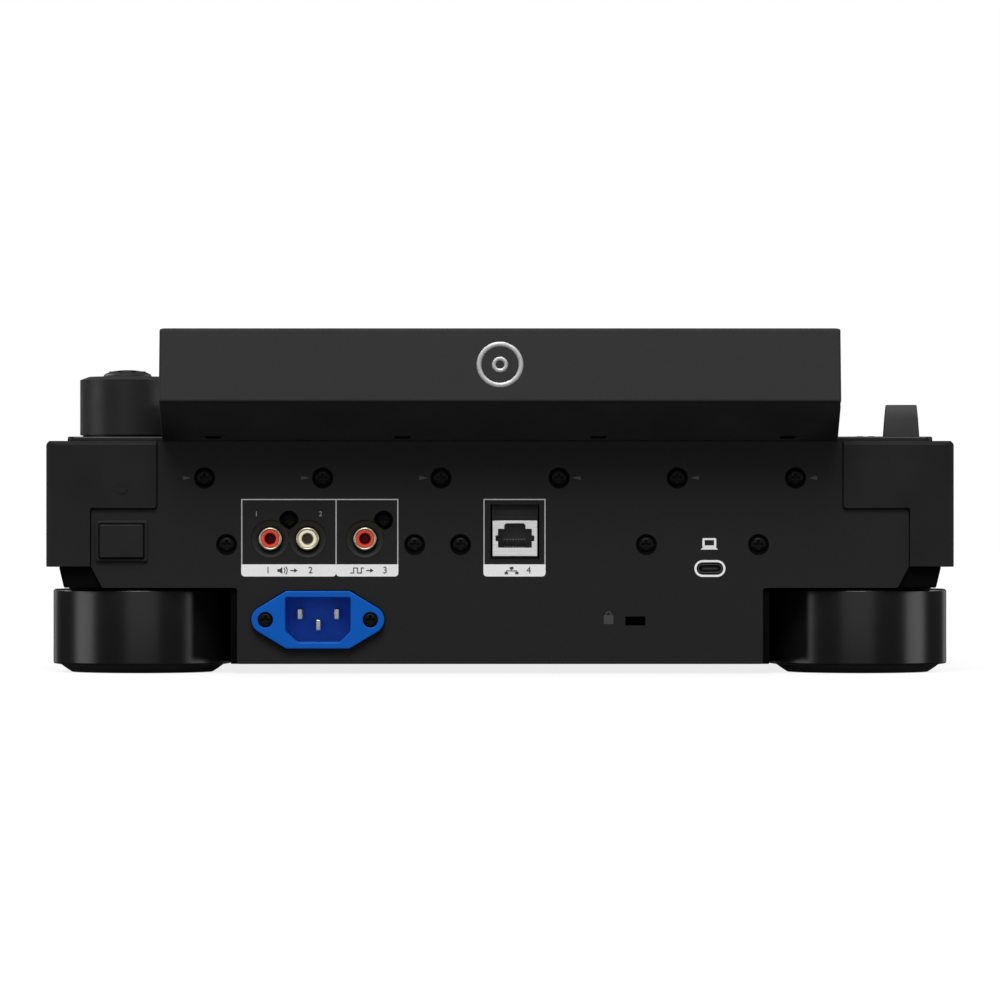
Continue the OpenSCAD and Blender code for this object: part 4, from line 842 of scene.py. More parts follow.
@dataclass
class Assembly:
    """Pieces that are made and dressed together."""

    def carry(self, node: str, finish: Finish) -> None:
        """Give a CAD node its finish and leave its shape."""
        piece = frame["nodes"][node]
        piece.data.materials.clear()
        piece.data.materials.append(made(finish))
        LOG.info("carried %s with %s", node, finish.name)

    def add(self, piece: bpy.types.Object, finish: Finish, node: str,
            stands_for: bool = False) -> bpy.types.Object:
        """Finish a new piece that rides with a CAD node.

        Args:
            piece: The new piece.
            finish: Its finish.
            node: CAD node that gives its body.
            stands_for: True where the piece takes the node's place.

        Returns:
            The same piece.
        """
        piece.data.materials.clear()
        piece.data.materials.append(made(finish))
        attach(piece, BODY_OF[node])
        if stands_for:
            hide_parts(node)
        LOG.info("made %s on %s with %s", piece.name, BODY_OF[node], finish.name)
        return piece

    def soften(self, node: str, finish: Finish, width: float, segments: int = 2,
               angle: float = 32.0) -> bpy.types.Object:
        """Put a softened copy in a CAD node's place."""
        return self.add(softened(node, width, segments, angle), finish, node, stands_for=True)


@dataclass
class Case(Assembly):
    """Upper case, chassis tray and control plate, with the raised mark over the power switch."""

    case_edge: float = 0.35 * MM
    upright_edge: float = 1.25 * MM
    sheet_edge: float = 0.4 * MM
    plate_edge: float = 0.2 * MM
    mark_height: float = 67.4 * MM
    mark_radius: float = 2.3 * MM
    mark_line: float = 0.45 * MM
    mark_rise: float = 0.2 * MM

    def build(self) -> None:
        """Make every piece of the case."""
        case = softened("upper_case", self.case_edge, 3, upright=self.upright_edge)
        self.add(case, CASE, "upper_case", stands_for=True)
        self.soften("bottom_chassis", CHASSIS, self.sheet_edge)
        self.soften("control_plate", DECK_PLATE, self.plate_edge)
        self.power_mark()

    def power_mark(self) -> None:
        """Raise a broken ring with a bar, the usual on-off sign, from the case's corner."""
        face = middle("power_switch")[0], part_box("upper_case")[1].y + self.mark_rise, self.mark_height
        r = self.mark_radius
        ring = [*arc((0, 0), r, 125, 415, 24), *reversed(arc((0, 0), r - self.mark_line, 125, 415, 24))]
        stroke = rounded_rect(self.mark_line, r * 1.1, self.mark_line / 2.2)
        pieces = [plate("mark_ring", ring, face, self.mark_rise + 0.2 * MM),
                  plate("mark_bar", stroke, (*face[:2], face[2] + r * 0.75), self.mark_rise + 0.2 * MM)]
        self.add(joined("power_mark", pieces), CASE, "upper_case")


@dataclass
class RearPanel(Assembly):
    """Steel panel with its printed frames, arrows and signs."""

    line: float = 0.42 * MM
    frame_top: float = 63.3 * MM
    frame_low: float = 35.2 * MM
    band_top: float = 39.6 * MM
    frames: tuple[Flat, ...] = ((59.35 * MM, 93.7 * MM), (36.8 * MM, 59.35 * MM), (-16.5 * MM, 6.0 * MM))
    shared: float = 59.35 * MM
    corner: float = 1.3 * MM
    arrow_length: float = 3.1 * MM
    arrow_height: float = 1.5 * MM
    arrow_gap: float = 4.7 * MM
    digits: tuple[tuple[str, float, float], ...] = (
        ("1", 88.2 * MM, 57.8 * MM), ("2", 65.0 * MM, 57.8 * MM))
    band_digits: tuple[tuple[str, float], ...] = (
        ("1", 84.0 * MM), ("2", 68.6 * MM), ("3", 41.6 * MM), ("4", -10.4 * MM))

    def build(self) -> None:
        """Make the panel and its prints."""
        self.carry("rear_panel", PANEL)
        self.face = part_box("rear_panel")[1].y
        self.printed_frames()
        self.arrows()
        self.laptop_sign()
        self.padlock_sign()

    def ink(self, name: str, pieces: Sequence[bpy.types.Object], finish: Ink = INK) -> None:
        """Join prints and give them their ink."""
        self.add(joined(name, pieces), finish, "rear_panel")

    def flat(self, outline: Sequence[Flat], x: float, z: float) -> bpy.types.Object:
        """Print an outline on the panel's face."""
        return plate("print", outline, (x, self.face + PRINT_RISE, z), PRINT_RISE)

    def printed_frames(self) -> None:
        """Print thin frames round the sockets, each on a white band with round lower corners."""
        lines, bands = [], []
        for low, high in self.frames:
            width, height, r = high - low, self.band_top - self.frame_low, self.corner
            outline = [(-width / 2, height / 2), *arc((r - width / 2, r - height / 2), r, 180, 270),
                       *arc((width / 2 - r, r - height / 2), r, 270, 360), (width / 2, height / 2)]
            bands.append(self.flat(outline, (low + high) / 2, (self.band_top + self.frame_low) / 2))
            left, right = (self.line / (2 if abs(side - self.shared) < WELD else 1) for side in (low, high))
            sheet = block("frame", (low, self.face, self.band_top),
                          (high, self.face + PRINT_RISE, self.frame_top))
            window = block("window", (low + left, self.face - MM, self.band_top - MM),
                           (high - right, self.face + MM, self.frame_top - self.line))
            lines.append(cut(sheet, window))
        self.ink("socket_frames", lines, INK_LINE)
        self.ink("socket_bands", bands)
        on_face = self.face + PRINT_RISE
        self.ink("jack_digits", [numeral("digit", t, 1.9 * MM, (x, on_face, z), Axis.BACK)
                                 for t, x, z in self.digits], INK_GREY)
        self.band_z = (self.band_top + self.frame_low) / 2
        on_band = on_face + PRINT_RISE
        self.ink("band_digits", [numeral("digit", t, 2.5 * MM, (x, on_band, self.band_z), Axis.BACK)
                                 for t, x in self.band_digits], INK_DARK)
        signs = self.speaker_sign(76.6 * MM) + self.wave_sign(49.6 * MM) + self.nodes_sign(-4.2 * MM)
        self.ink("band_signs", signs, INK_DARK)

    def on_band(self, outline: Sequence[Flat], x: float) -> bpy.types.Object:
        """Print an outline in millimetres on a band, as it is read from behind."""
        points = [(-a * MM, b * MM) for a, b in outline]
        return plate("sign", points, (x, self.face + 2.5 * PRINT_RISE, self.band_z), PRINT_RISE)

    def out_arrow(self, x: float, start: float) -> list[bpy.types.Object]:
        """An arrow that points out of a sign."""
        stem = bar(start, -0.18, start + 1.7, 0.18)
        head = [(start + 1.5, -0.8), (start + 1.5, 0.8), (start + 2.7, 0.0)]
        return [self.on_band(stem, x), self.on_band(head, x)]

    def speaker_sign(self, x: float) -> list[bpy.types.Object]:
        """A loudspeaker with two waves and an arrow."""
        horn = [(-4.0, -0.5), (-4.0, 0.5), (-3.2, 0.5), (-2.2, 1.25), (-2.2, -1.25), (-3.2, -0.5)]
        waves = [[*arc((-2.6, 0), r, -42, 42, 8), *reversed(arc((-2.6, 0), r - 0.32, -42, 42, 8))]
                 for r in (1.5, 2.3)]
        return [self.on_band(points, x) for points in (horn, *waves)] + self.out_arrow(x, 0.6)

    def wave_sign(self, x: float) -> list[bpy.types.Object]:
        """A square wave and an arrow."""
        half = 0.16
        steps = [(-4.4, -0.9), (-3.4, -0.9), (-3.4, 0.9), (-2.0, 0.9),
                 (-2.0, -0.9), (-0.6, -0.9), (-0.6, 0.9), (0.2, 0.9)]
        strokes = [bar(min(ax, bx) - half, min(ay, by) - half, max(ax, bx) + half, max(ay, by) + half)
                   for (ax, ay), (bx, by) in zip(steps, steps[1:])]
        return [self.on_band(points, x) for points in strokes] + self.out_arrow(x, 1.1)

    def nodes_sign(self, x: float) -> list[bpy.types.Object]:
        """Three boxes joined by lines, the usual network sign."""
        shapes = ((0, 0.85, 1.3, 0.9), (-1.9, -0.95, 1.2, 0.8), (1.9, -0.95, 1.2, 0.8), (0, 0.1, 0.26, 0.7),
                  (0, -0.15, 4.05, 0.26), (-1.9, -0.4, 0.26, 0.5), (1.9, -0.4, 0.26, 0.5))
        return [self.on_band(bar(a - wide / 2, b - tall / 2, a + wide / 2, b + tall / 2), x)
                for a, b, wide, tall in shapes]

    def arrows(self) -> None:
        """Print a small arrow beside each upper screw, pointing at it."""
        screws = Screws()
        half = self.arrow_height / 2
        prints = []
        for x in screws.upper_row():
            side = 1 if x > 0 else -1
            outline = [(side * self.arrow_length, half), (side * self.arrow_length, -half), (0, 0)]
            prints.append(self.flat(outline[::side], x + side * self.arrow_gap, screws.upper_z))
        self.ink("screw_arrows", prints, INK_DIM)

    def laptop_sign(self, x: float = -75.8 * MM, z: float = 47.0 * MM) -> None:
        """Print a laptop: a screen frame over a wider foot."""
        screen = self.flat(rounded_rect(5.0 * MM, 3.2 * MM, 0.3 * MM), x, z + 0.5 * MM)
        hole = block("hole", (x - 1.7 * MM, self.face - MM, z - 0.55 * MM),
                     (x + 1.7 * MM, self.face + MM, z + 1.4 * MM))
        foot = [(-2.3 * MM, 0.45 * MM), (-3.1 * MM, -0.45 * MM),
                (3.1 * MM, -0.45 * MM), (2.3 * MM, 0.45 * MM)]
        self.ink("laptop_sign", [cut(screen, hole), self.flat(foot, x, z - 1.6 * MM)])

    def padlock_sign(self, x: float = -39.3 * MM, z: float = 20.2 * MM) -> None:
        """Print a padlock: a body under a bow."""
        body = self.flat(rounded_rect(3.5 * MM, 3.3 * MM, 0.25 * MM), x, z - 0.6 * MM)
        bow = [(-1.1 * MM, 0), *reversed(arc((0, 0.4 * MM), 1.1 * MM, 0, 180)), (1.1 * MM, 0),
               (0.6 * MM, 0), *arc((0, 0.4 * MM), 0.6 * MM, 0, 180), (-0.6 * MM, 0)]
        self.ink("padlock_sign", [body, self.flat(bow, x, z + 1.0 * MM)], INK_DIM)


@dataclass
class Screws(Assembly):
    """Pan-head screws with a cross recess: rear panel, inlet, jacks and feet."""

    upper_z: float = 70.9 * MM
    upper_pitch: float = 42.8 * MM
    lower_z: float = 46.8 * MM
    lower_x: tuple[float, ...] = (99.0 * MM, 30.9 * MM, 14.3 * MM, -53.0 * MM, -93.6 * MM)
    dish: float = 0.6 * MM
    head_radius: float = 2.6 * MM
    head: float = 1.0 * MM
    shank_radius: float = 1.4 * MM
    shank: float = 5.0 * MM
    recess: Point = (3.2 * MM, 1.8 * MM, 0.72 * MM)
    # Outer radius and height of the black ring of painted shade in each dish.
    washer: Flat = (3.85 * MM, 0.63 * MM)
    inlet_pitch: float = 38.0 * MM
    jack_places: tuple[Flat, ...] = ((76.45 * MM, 55.6 * MM), (42.15 * MM, 55.6 * MM))
    jack_seat: float = 3.6 * MM
    foot_head_radius: float = 4.5 * MM
    foot_length: float = 12.6 * MM

    def upper_row(self) -> list[float]:
        """Places of the upper row's screws across the back."""
        return [(i - 2.5) * self.upper_pitch for i in range(6)]

    def build(self) -> None:
        """Make one screw of each kind and copy it to its places."""
        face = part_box("rear_panel")[1].y
        seat = face - self.dish
        places = [(x, seat, self.upper_z) for x in self.upper_row()]
        places += [(x, seat, self.lower_z) for x in self.lower_x]
        inlet_x, _, inlet_z = middle("mains_inlet")
        places += [(inlet_x + s * self.inlet_pitch / 2, face + MM, inlet_z) for s in (-1, 1)]
        places += [(x, face - self.jack_seat, z) for x, z in self.jack_places]
        dished = [place for place in places if place[1] == seat]
        # Black rings in the dishes: painted shade.
        self.add(placed_copies("dish_shade_rings", self.spring_washer(), dished), SHADE_BLACK, "screws")
        rear = placed_copies("rear_screws", self.cross_screw(), places)
        feet = placed_copies("foot_screws", self.foot_screw(), Feet().places())
        self.add(joined("screw_set", [rear, feet]), SCREW, "screws", stands_for=True)

    def cross_screw(self) -> bpy.types.Object:
        """One screw that faces backwards, its seat at the origin."""
        r, h = self.head_radius, self.head
        profile = [(0, -self.shank), (self.shank_radius, -self.shank), (self.shank_radius, 0), (r, 0),
                   (r, h * 0.35), (r * 0.93, h * 0.66), (r * 0.76, h * 0.88), (r * 0.5, h * 0.98), (0, h)]
        screw = lathe("cross_screw", profile, (0, 0, 0), Axis.BACK, 40)
        wide, deep, slim = self.recess
        bars = [block("bar", (-a / 2, h - deep / 2, -b / 2), (a / 2, h + deep / 2, b / 2))
                for a, b in ((wide, slim), (slim, wide))]
        return rounded(cut(screw, *bars), 0.1 * MM, 2, 40, clamp=False)

    def spring_washer(self) -> bpy.types.Object:
        """A black ring that lines the dish round a screw's head: painted shade in the dish."""
        r, t = self.washer
        inner, lip = self.head_radius + 0.05 * MM, self.dish + 0.005 * MM
        profile = [(inner, 0.02 * MM), (inner + 0.3 * MM, 0.02 * MM), (r - 0.35 * MM, lip), (r, lip),
                   (r - 0.1 * MM, t), (r - 0.4 * MM, t), (inner + 0.2 * MM, 0.12 * MM), (inner, 0.12 * MM),
                   (inner, 0.02 * MM)]
        return smoothed(lathe("washer", profile, (0, 0, 0), Axis.BACK, 48), 30)

    def foot_screw(self) -> bpy.types.Object:
        """One screw that faces down, its head's seat at the origin."""
        r = self.foot_head_radius
        profile = [(0, -2.4 * MM), (r * 0.7, -2.4 * MM), (r * 0.95, -1.8 * MM), (r, -1.2 * MM), (r, 0),
                   (2 * MM, 0), (2 * MM, self.foot_length), (0, self.foot_length)]
        screw = lathe("foot_screw", profile, (0, 0, 0), Axis.UP, 36)
        bars = [block("bar", (-a / 2, -b / 2, -3 * MM), (a / 2, b / 2, -1.5 * MM))
                for a, b in ((5 * MM, MM), (MM, 5 * MM))]
        return smoothed(cut(screw, *bars))


@dataclass
class Feet(Assembly):
    """Four glossy round feet with rubber rings."""

    radius: float = 32.6 * MM
    pad_height: float = 2.8 * MM
    top: float = 30.0 * MM
    hollow_radius: float = 8.0 * MM
    hollow_top: float = 22.0 * MM
    screw_radius: float = 2.1 * MM

    def places(self) -> list[Point]:
        """Middle of each foot, at the height of its screw's seat."""
        low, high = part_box("feet")
        return [(x, y, self.hollow_top) for x in (low.x + self.radius, high.x - self.radius)
                for y in (low.y + self.radius, high.y - self.radius)]

    def build(self) -> None:
        """Make the feet and their rings."""
        on_floor = [(x, y, 0.0) for x, y, _ in self.places()]
        self.add(placed_copies("round_feet", self.foot(), on_floor), FOOT, "feet", stands_for=True)
        self.add(placed_copies("foot_rings", self.ring(), on_floor), PAD, "foot_pads", stands_for=True)
        # Black rings on the feet's tops: painted shade.
        self.add(placed_copies("foot_top_shades", self.gasket(), on_floor), FOOT_TOP_SHADE, "feet")

    def foot(self) -> bpy.types.Object:
        """Spin one foot."""
        r, low, top = self.radius, self.pad_height, self.top
        collar, collar_top = r - 7 * MM, top + 1.1 * MM
        profile = [(self.hollow_radius, low), (r - 2.2 * MM, low),
                   *arc((r - 0.7 * MM, low + 0.9 * MM), 0.7 * MM, -60, 0, 6), (r, (low + top) / 2),
                   *arc((r - 0.35 * MM, top - 0.35 * MM), 0.35 * MM, 0, 90, 4), (collar, top),
                   (collar, collar_top), (self.screw_radius, collar_top),
                   (self.screw_radius, self.hollow_top), (self.hollow_radius, self.hollow_top),
                   (self.hollow_radius, low)]
        return smoothed(lathe("foot", profile, (0, 0, 0), Axis.UP, 128), 30)

    def gasket(self) -> bpy.types.Object:
        """Spin the thin matt black ring on top of one foot: painted shade on the foot's top."""
        inner, outer, top = self.radius - 6.9 * MM, self.radius - 0.45 * MM, self.top
        shoulder, step = inner + 1.2 * MM, top + 0.3 * MM
        profile = [(inner, top), (outer, top), (outer - 0.15 * MM, step), (shoulder, step),
                   (shoulder, top + MM), (inner, top + MM), (inner, top)]
        return smoothed(lathe("gasket", profile, (0, 0, 0), Axis.UP, 96), 30)

    def ring(self) -> bpy.types.Object:
        """Spin one rubber ring with grooves in its face."""
        r, h = self.radius, self.pad_height
        grooves = [(r - (inward + 2.6 * i) * MM, deep) for i in range(4)
                   for inward, deep in ((8.4, 0.0), (8.8, 0.6 * MM), (9.6, 0.6 * MM), (10.0, 0.0))]
        profile = [(10 * MM, h), (r - 2.7 * MM, h), (r - 4.6 * MM, h * 0.5), (r - 6.4 * MM, 0.25 * MM),
                   (r - 6.8 * MM, 0.0), *grooves, (10 * MM, 0.0), (10 * MM, h)]
        return smoothed(lathe("ring", profile, (0, 0, 0), Axis.UP, 96), 30)


@dataclass
class Jacks(Assembly):
    """Audio jacks: plated sleeves, coloured inserts and black bodies."""

    radius: float = 4.15 * MM
    wall: float = 0.6 * MM
    depth: float = 11.1 * MM
    stand: float = 0.6 * MM
    bore: float = 1.65 * MM
    cone: float = 2.15 * MM
    lip: float = 0.9 * MM
    dish: tuple[Flat, ...] = (
        (4.4 * MM, -2.8 * MM), (4.5 * MM, -2.1 * MM), (5.2 * MM, -1.35 * MM), (6.0 * MM, -0.65 * MM),
        (6.72 * MM, -0.05 * MM), (6.72 * MM, -0.4 * MM), (5.2 * MM, -1.6 * MM), (4.4 * MM, -2.8 * MM))
    dish_cut: tuple[Flat, ...] = (
        (0, -2.7 * MM), (4.6 * MM, -2.7 * MM), (7.0 * MM, 0), (7.0 * MM, MM), (0, MM))
    deep: float = 4.2 * MM
    spacing: tuple[float, ...] = (0.0, 13.5 * MM, 34.3 * MM)

    def build(self) -> None:
        """Make the three jacks."""
        high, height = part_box("jack_sleeves")[1], middle("jack_sleeves")[2]
        face = high.y - self.stand
        places = [(high.x - self.radius - step, face, height) for step in self.spacing]
        sleeves = placed_copies("plated_sleeves", self.sleeve(), places)
        self.add(sleeves, SLEEVE, "jack_sleeves", stands_for=True)
        reds, creams = [places[0], places[2]], places[1:2]
        self.add(placed_copies("red_inserts", self.insert(), reds), RED, "jack_inserts", stands_for=True)
        self.add(placed_copies("cream_insert", self.insert(), creams), CREAM, "jack_inserts")
        # The cones and bore floors take the darker copies: painted shade in the bores.
        self.add(placed_copies("red_cones", self.deep_cone(), reds), RED_SHADED, "jack_inserts")
        self.add(placed_copies("cream_cone", self.deep_cone(), creams), CREAM_SHADED, "jack_inserts")
        self.add(placed_copies("jack_dishes", self.bowl(), places), DISH, "jack_block")
        cones = [lathe("cone", self.dish_cut, place, Axis.BACK) for place in places]
        self.add(cut(softened("jack_block", 0.25 * MM), *cones), JACK_BODY, "jack_block", stands_for=True)

    def sleeve(self) -> bpy.types.Object:
        """Spin one sleeve with a rolled lip."""
        r, w, s, fat = self.radius, self.wall, self.stand, self.lip
        lip = arc((r - fat / 2, s - fat / 2), fat / 2, 0, 180, 8)
        low = s - self.depth
        profile = [(r - w, low), (r, low), *lip, (r - fat, s - fat), (r - w, s - 2 * fat), (r - w, low)]
        return smoothed(lathe("sleeve", profile, (0, 0, 0), Axis.BACK, 72))

    def insert(self) -> bpy.types.Object:
        """Spin one insert's outer ring."""
        r, c, face = self.radius - self.lip - 0.03 * MM, self.cone, 0.42 * MM
        profile = [(c, face - 4 * MM), (r, face - 4 * MM), (r, face - 0.12 * MM), (r - 0.15 * MM, face),
                   (c + 0.2 * MM, face - 0.03 * MM), (c, face - 0.2 * MM), (c, face - 4 * MM)]
        return smoothed(lathe("insert", profile, (0, 0, 0), Axis.BACK, 64))

    def deep_cone(self) -> bpy.types.Object:
        """Spin the cone that leads into a bore, with the bore's floor."""
        c, b, face = self.cone - 0.02 * MM, self.bore, 0.3 * MM
        floor = face - self.deep
        profile = [(0, floor), (b - 0.3 * MM, floor), (b, floor + 0.3 * MM), (b, face - 1.8 * MM),
                   (b + 0.15 * MM, face - MM), (c, face - 0.2 * MM), (c, face - 11 * MM), (0, face - 11 * MM)]
        return smoothed(lathe("cone", profile, (0, 0, 0), Axis.BACK, 64), 20)

    def bowl(self) -> bpy.types.Object:
        """Spin the bowl between the panel's hole and the sleeve."""
        return smoothed(lathe("bowl", self.dish, (0, 0, 0), Axis.BACK, 72), 50)


@dataclass
class Network(Assembly):
    """Network socket: tin shell, dark body with a stepped mouth that is painted pale as painted light, eight
    sprung wires.
    """

    wall: float = 0.35 * MM
    mouth_depth: float = 13.8 * MM
    mouth: Point = (6.1 * MM, 3.4 * MM, 5.4 * MM)
    step: float = 3.8 * MM
    notch: Flat = (7.0 * MM, 1.0 * MM)
    centre_z: float = 49.0 * MM
    wires: int = 8
    pocket_top: float = 61.7 * MM
    pocket_side: float = 8.4 * MM
    pocket_low: float = 39.0 * MM
    pocket_depth: float = 1.3 * MM
    wire_pitch: float = 1.02 * MM
    wire_side: tuple[Flat, ...] = (
        (-3.0 * MM, -3.3 * MM), (-12.0 * MM, -3.3 * MM), (-12.4 * MM, -2.6 * MM), (-5.0 * MM, -0.2 * MM),
        (-5.0 * MM, -0.5 * MM), (-11.6 * MM, -2.7 * MM), (-11.8 * MM, -3.0 * MM), (-3.0 * MM, -3.0 * MM))

    def outline(self) -> list[Flat]:
        """Outline of the mouth about the socket's middle."""
        x, z, top = self.mouth
        side, notch_z = self.notch
        right = [(x, -z), (x, -notch_z), (side, -notch_z), (side, notch_z), (x, notch_z), (x, z),
                 (self.step, z), (self.step, top - 0.6 * MM), (self.step - 0.6 * MM, top)]
        return [*right, *[(-a, b) for a, b in reversed(right)]]

    def build(self) -> None:
        """Make the shell, the body and the wires."""
        low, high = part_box("lan_socket")
        x, face, w = middle("lan_socket")[0], high.y, self.wall
        base = self.centre_z - (high.z - self.centre_z)
        shell = block("network_shell", (low.x, low.y, base), (high.x, face, high.z))
        far_corner = high.x - w, face - w, high.z - w
        inside = block("inside", (low.x + w, low.y - MM, base + w), far_corner)
        mouth = plate("mouth", self.outline(), (x, face + MM, self.centre_z), 3 * MM)
        shell = rounded(cut(shell, inside, mouth), 0.18 * MM, 2, 40, clamp=False)
        self.add(shell, SHIELD, "lan_socket", stands_for=True)
        body = block("network_body", (low.x + w, low.y, base + w), far_corner)
        hollow = plate("hollow", self.outline(), (x, face + MM, self.centre_z), MM + self.mouth_depth)
        # The body's pale grey is painted light inside the mouth.
        self.add(rounded(cut(body, hollow), 0.1 * MM, 1, 40, clamp=False), MOUTH_LIT, "lan_socket")
        foot = block("network_base", (low.x, low.y, low.z), (high.x, face - 2 * MM, base))
        self.add(foot, INNER, "lan_socket")
        shifts = [(x + (i - (self.wires - 1) / 2) * self.wire_pitch, face, self.centre_z)
                  for i in range(self.wires)]
        self.add(placed_copies("network_wires", self.wire(), shifts), INNER_METAL, "lan_socket")
        self.surround(x, face)

    def surround(self, x: float, face: float) -> None:
        """Fill the pocket above and below the shell with moulded bars that stand behind the panel."""
        back, side = face - self.pocket_depth, self.pocket_side
        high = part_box("lan_socket")[1]
        reach = high.z - self.centre_z + 0.15 * MM
        spans = (self.centre_z + reach, self.pocket_top), (self.pocket_low, self.centre_z - reach)
        bars = [block("bar", (x - side, back - 0.6 * MM, z), (x + side, back, top)) for z, top in spans]
        ledge = block("ledge", (x - side + 1.2 * MM, back - 0.3 * MM, high.z + 1.4 * MM),
                      (x + side - 1.2 * MM, back + MM, self.pocket_top - 1.0 * MM))
        cut(bars[0], ledge)
        self.add(rounded(joined("network_surround", bars), 0.12 * MM, 2), SURROUND, "lan_socket")

    def wire(self) -> bpy.types.Object:
        """Bend one contact wire: along the floor, then back up at a slant."""
        bent = plate("wire", self.wire_side, (0, 0, 0), 0.35 * MM, Axis.UP)
        bent.rotation_euler = (math.pi / 2, 0, math.pi / 2)
        return settle(bent, "wire")


@dataclass
class DataSockets(Assembly):
    """Small data socket behind with its printed ring, and the upright one in the deck."""

    ring: Flat = (11.3 * MM, 6.1 * MM)
    line: float = 0.78 * MM
    shell: Flat = (8.7 * MM, 3.1 * MM)
    shell_wall: float = 0.28 * MM
    centre_drop: float = 1.65 * MM
    contact_pitch: float = 2.4 * MM

    def build(self) -> None:
        """Make both sockets."""
        low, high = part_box("usb_c_socket")
        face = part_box("rear_panel")[1].y
        x, z = middle("usb_c_socket")[0], high.z - self.centre_drop
        wide, tall = self.ring
        outer = plate("data_ring", stadium(wide, tall), (x, face + PRINT_RISE, z), PRINT_RISE)
        hole = plate("hole", stadium(wide - 2 * self.line, tall - 2 * self.line), (x, face + MM, z), 2 * MM)
        self.add(cut(outer, hole), INK, "rear_panel")
        self.small_socket(x, z, low.y, high.y)
        self.soften("usb_a_socket", SHIELD, 0.12 * MM, 1)
        self.tongue()

    def small_socket(self, x: float, z: float, back: float, face: float) -> None:
        """Draw the small socket: a thin shell, a dark floor and the tongue."""
        wide, tall = self.shell
        w = self.shell_wall
        shell = plate("data_shell", stadium(wide, tall), (x, face, z), face - back)
        hole = plate("hole", stadium(wide - 2 * w, tall - 2 * w), (x, face + MM, z), MM + 5.4 * MM)
        shell = rounded(cut(shell, hole), 0.06 * MM, 1, 40, clamp=False)
        self.add(shell, DIM_TIN, "usb_c_socket", stands_for=True)
        tongue = plate("data_tongue", stadium(5.6 * MM, 0.7 * MM), (x, face - 1.1 * MM, z), 5 * MM)
        floor = plate("data_floor", stadium(wide - 2.1 * w, tall - 2.1 * w), (x, face - 4.9 * MM, z),
                      0.4 * MM)
        self.add(joined("data_tongue", [tongue, floor]), INK_DIM, "usb_c_socket")

    def tongue(self) -> None:
        """Stand the contact tongue in the upright socket."""
        low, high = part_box("usb_a_socket")
        x, y, _ = middle("usb_a_socket")
        tongue = block("stick_tongue", (x - 5.5 * MM, y + 0.3 * MM, low.z + MM),
                       (x + 5.5 * MM, y + 1.9 * MM, high.z - 1.5 * MM))
        self.add(rounded(tongue, 0.15 * MM), INNER, "usb_a_socket")
        strips = [block("strip", (at - 0.5 * MM, y + 0.2 * MM, low.z + 3 * MM),
                        (at + 0.5 * MM, y + 0.35 * MM, high.z - 2.4 * MM))
                  for at in (x + (i - 1.5) * self.contact_pitch for i in range(4))]
        self.add(joined("stick_contacts", strips), GOLD, "usb_a_socket")


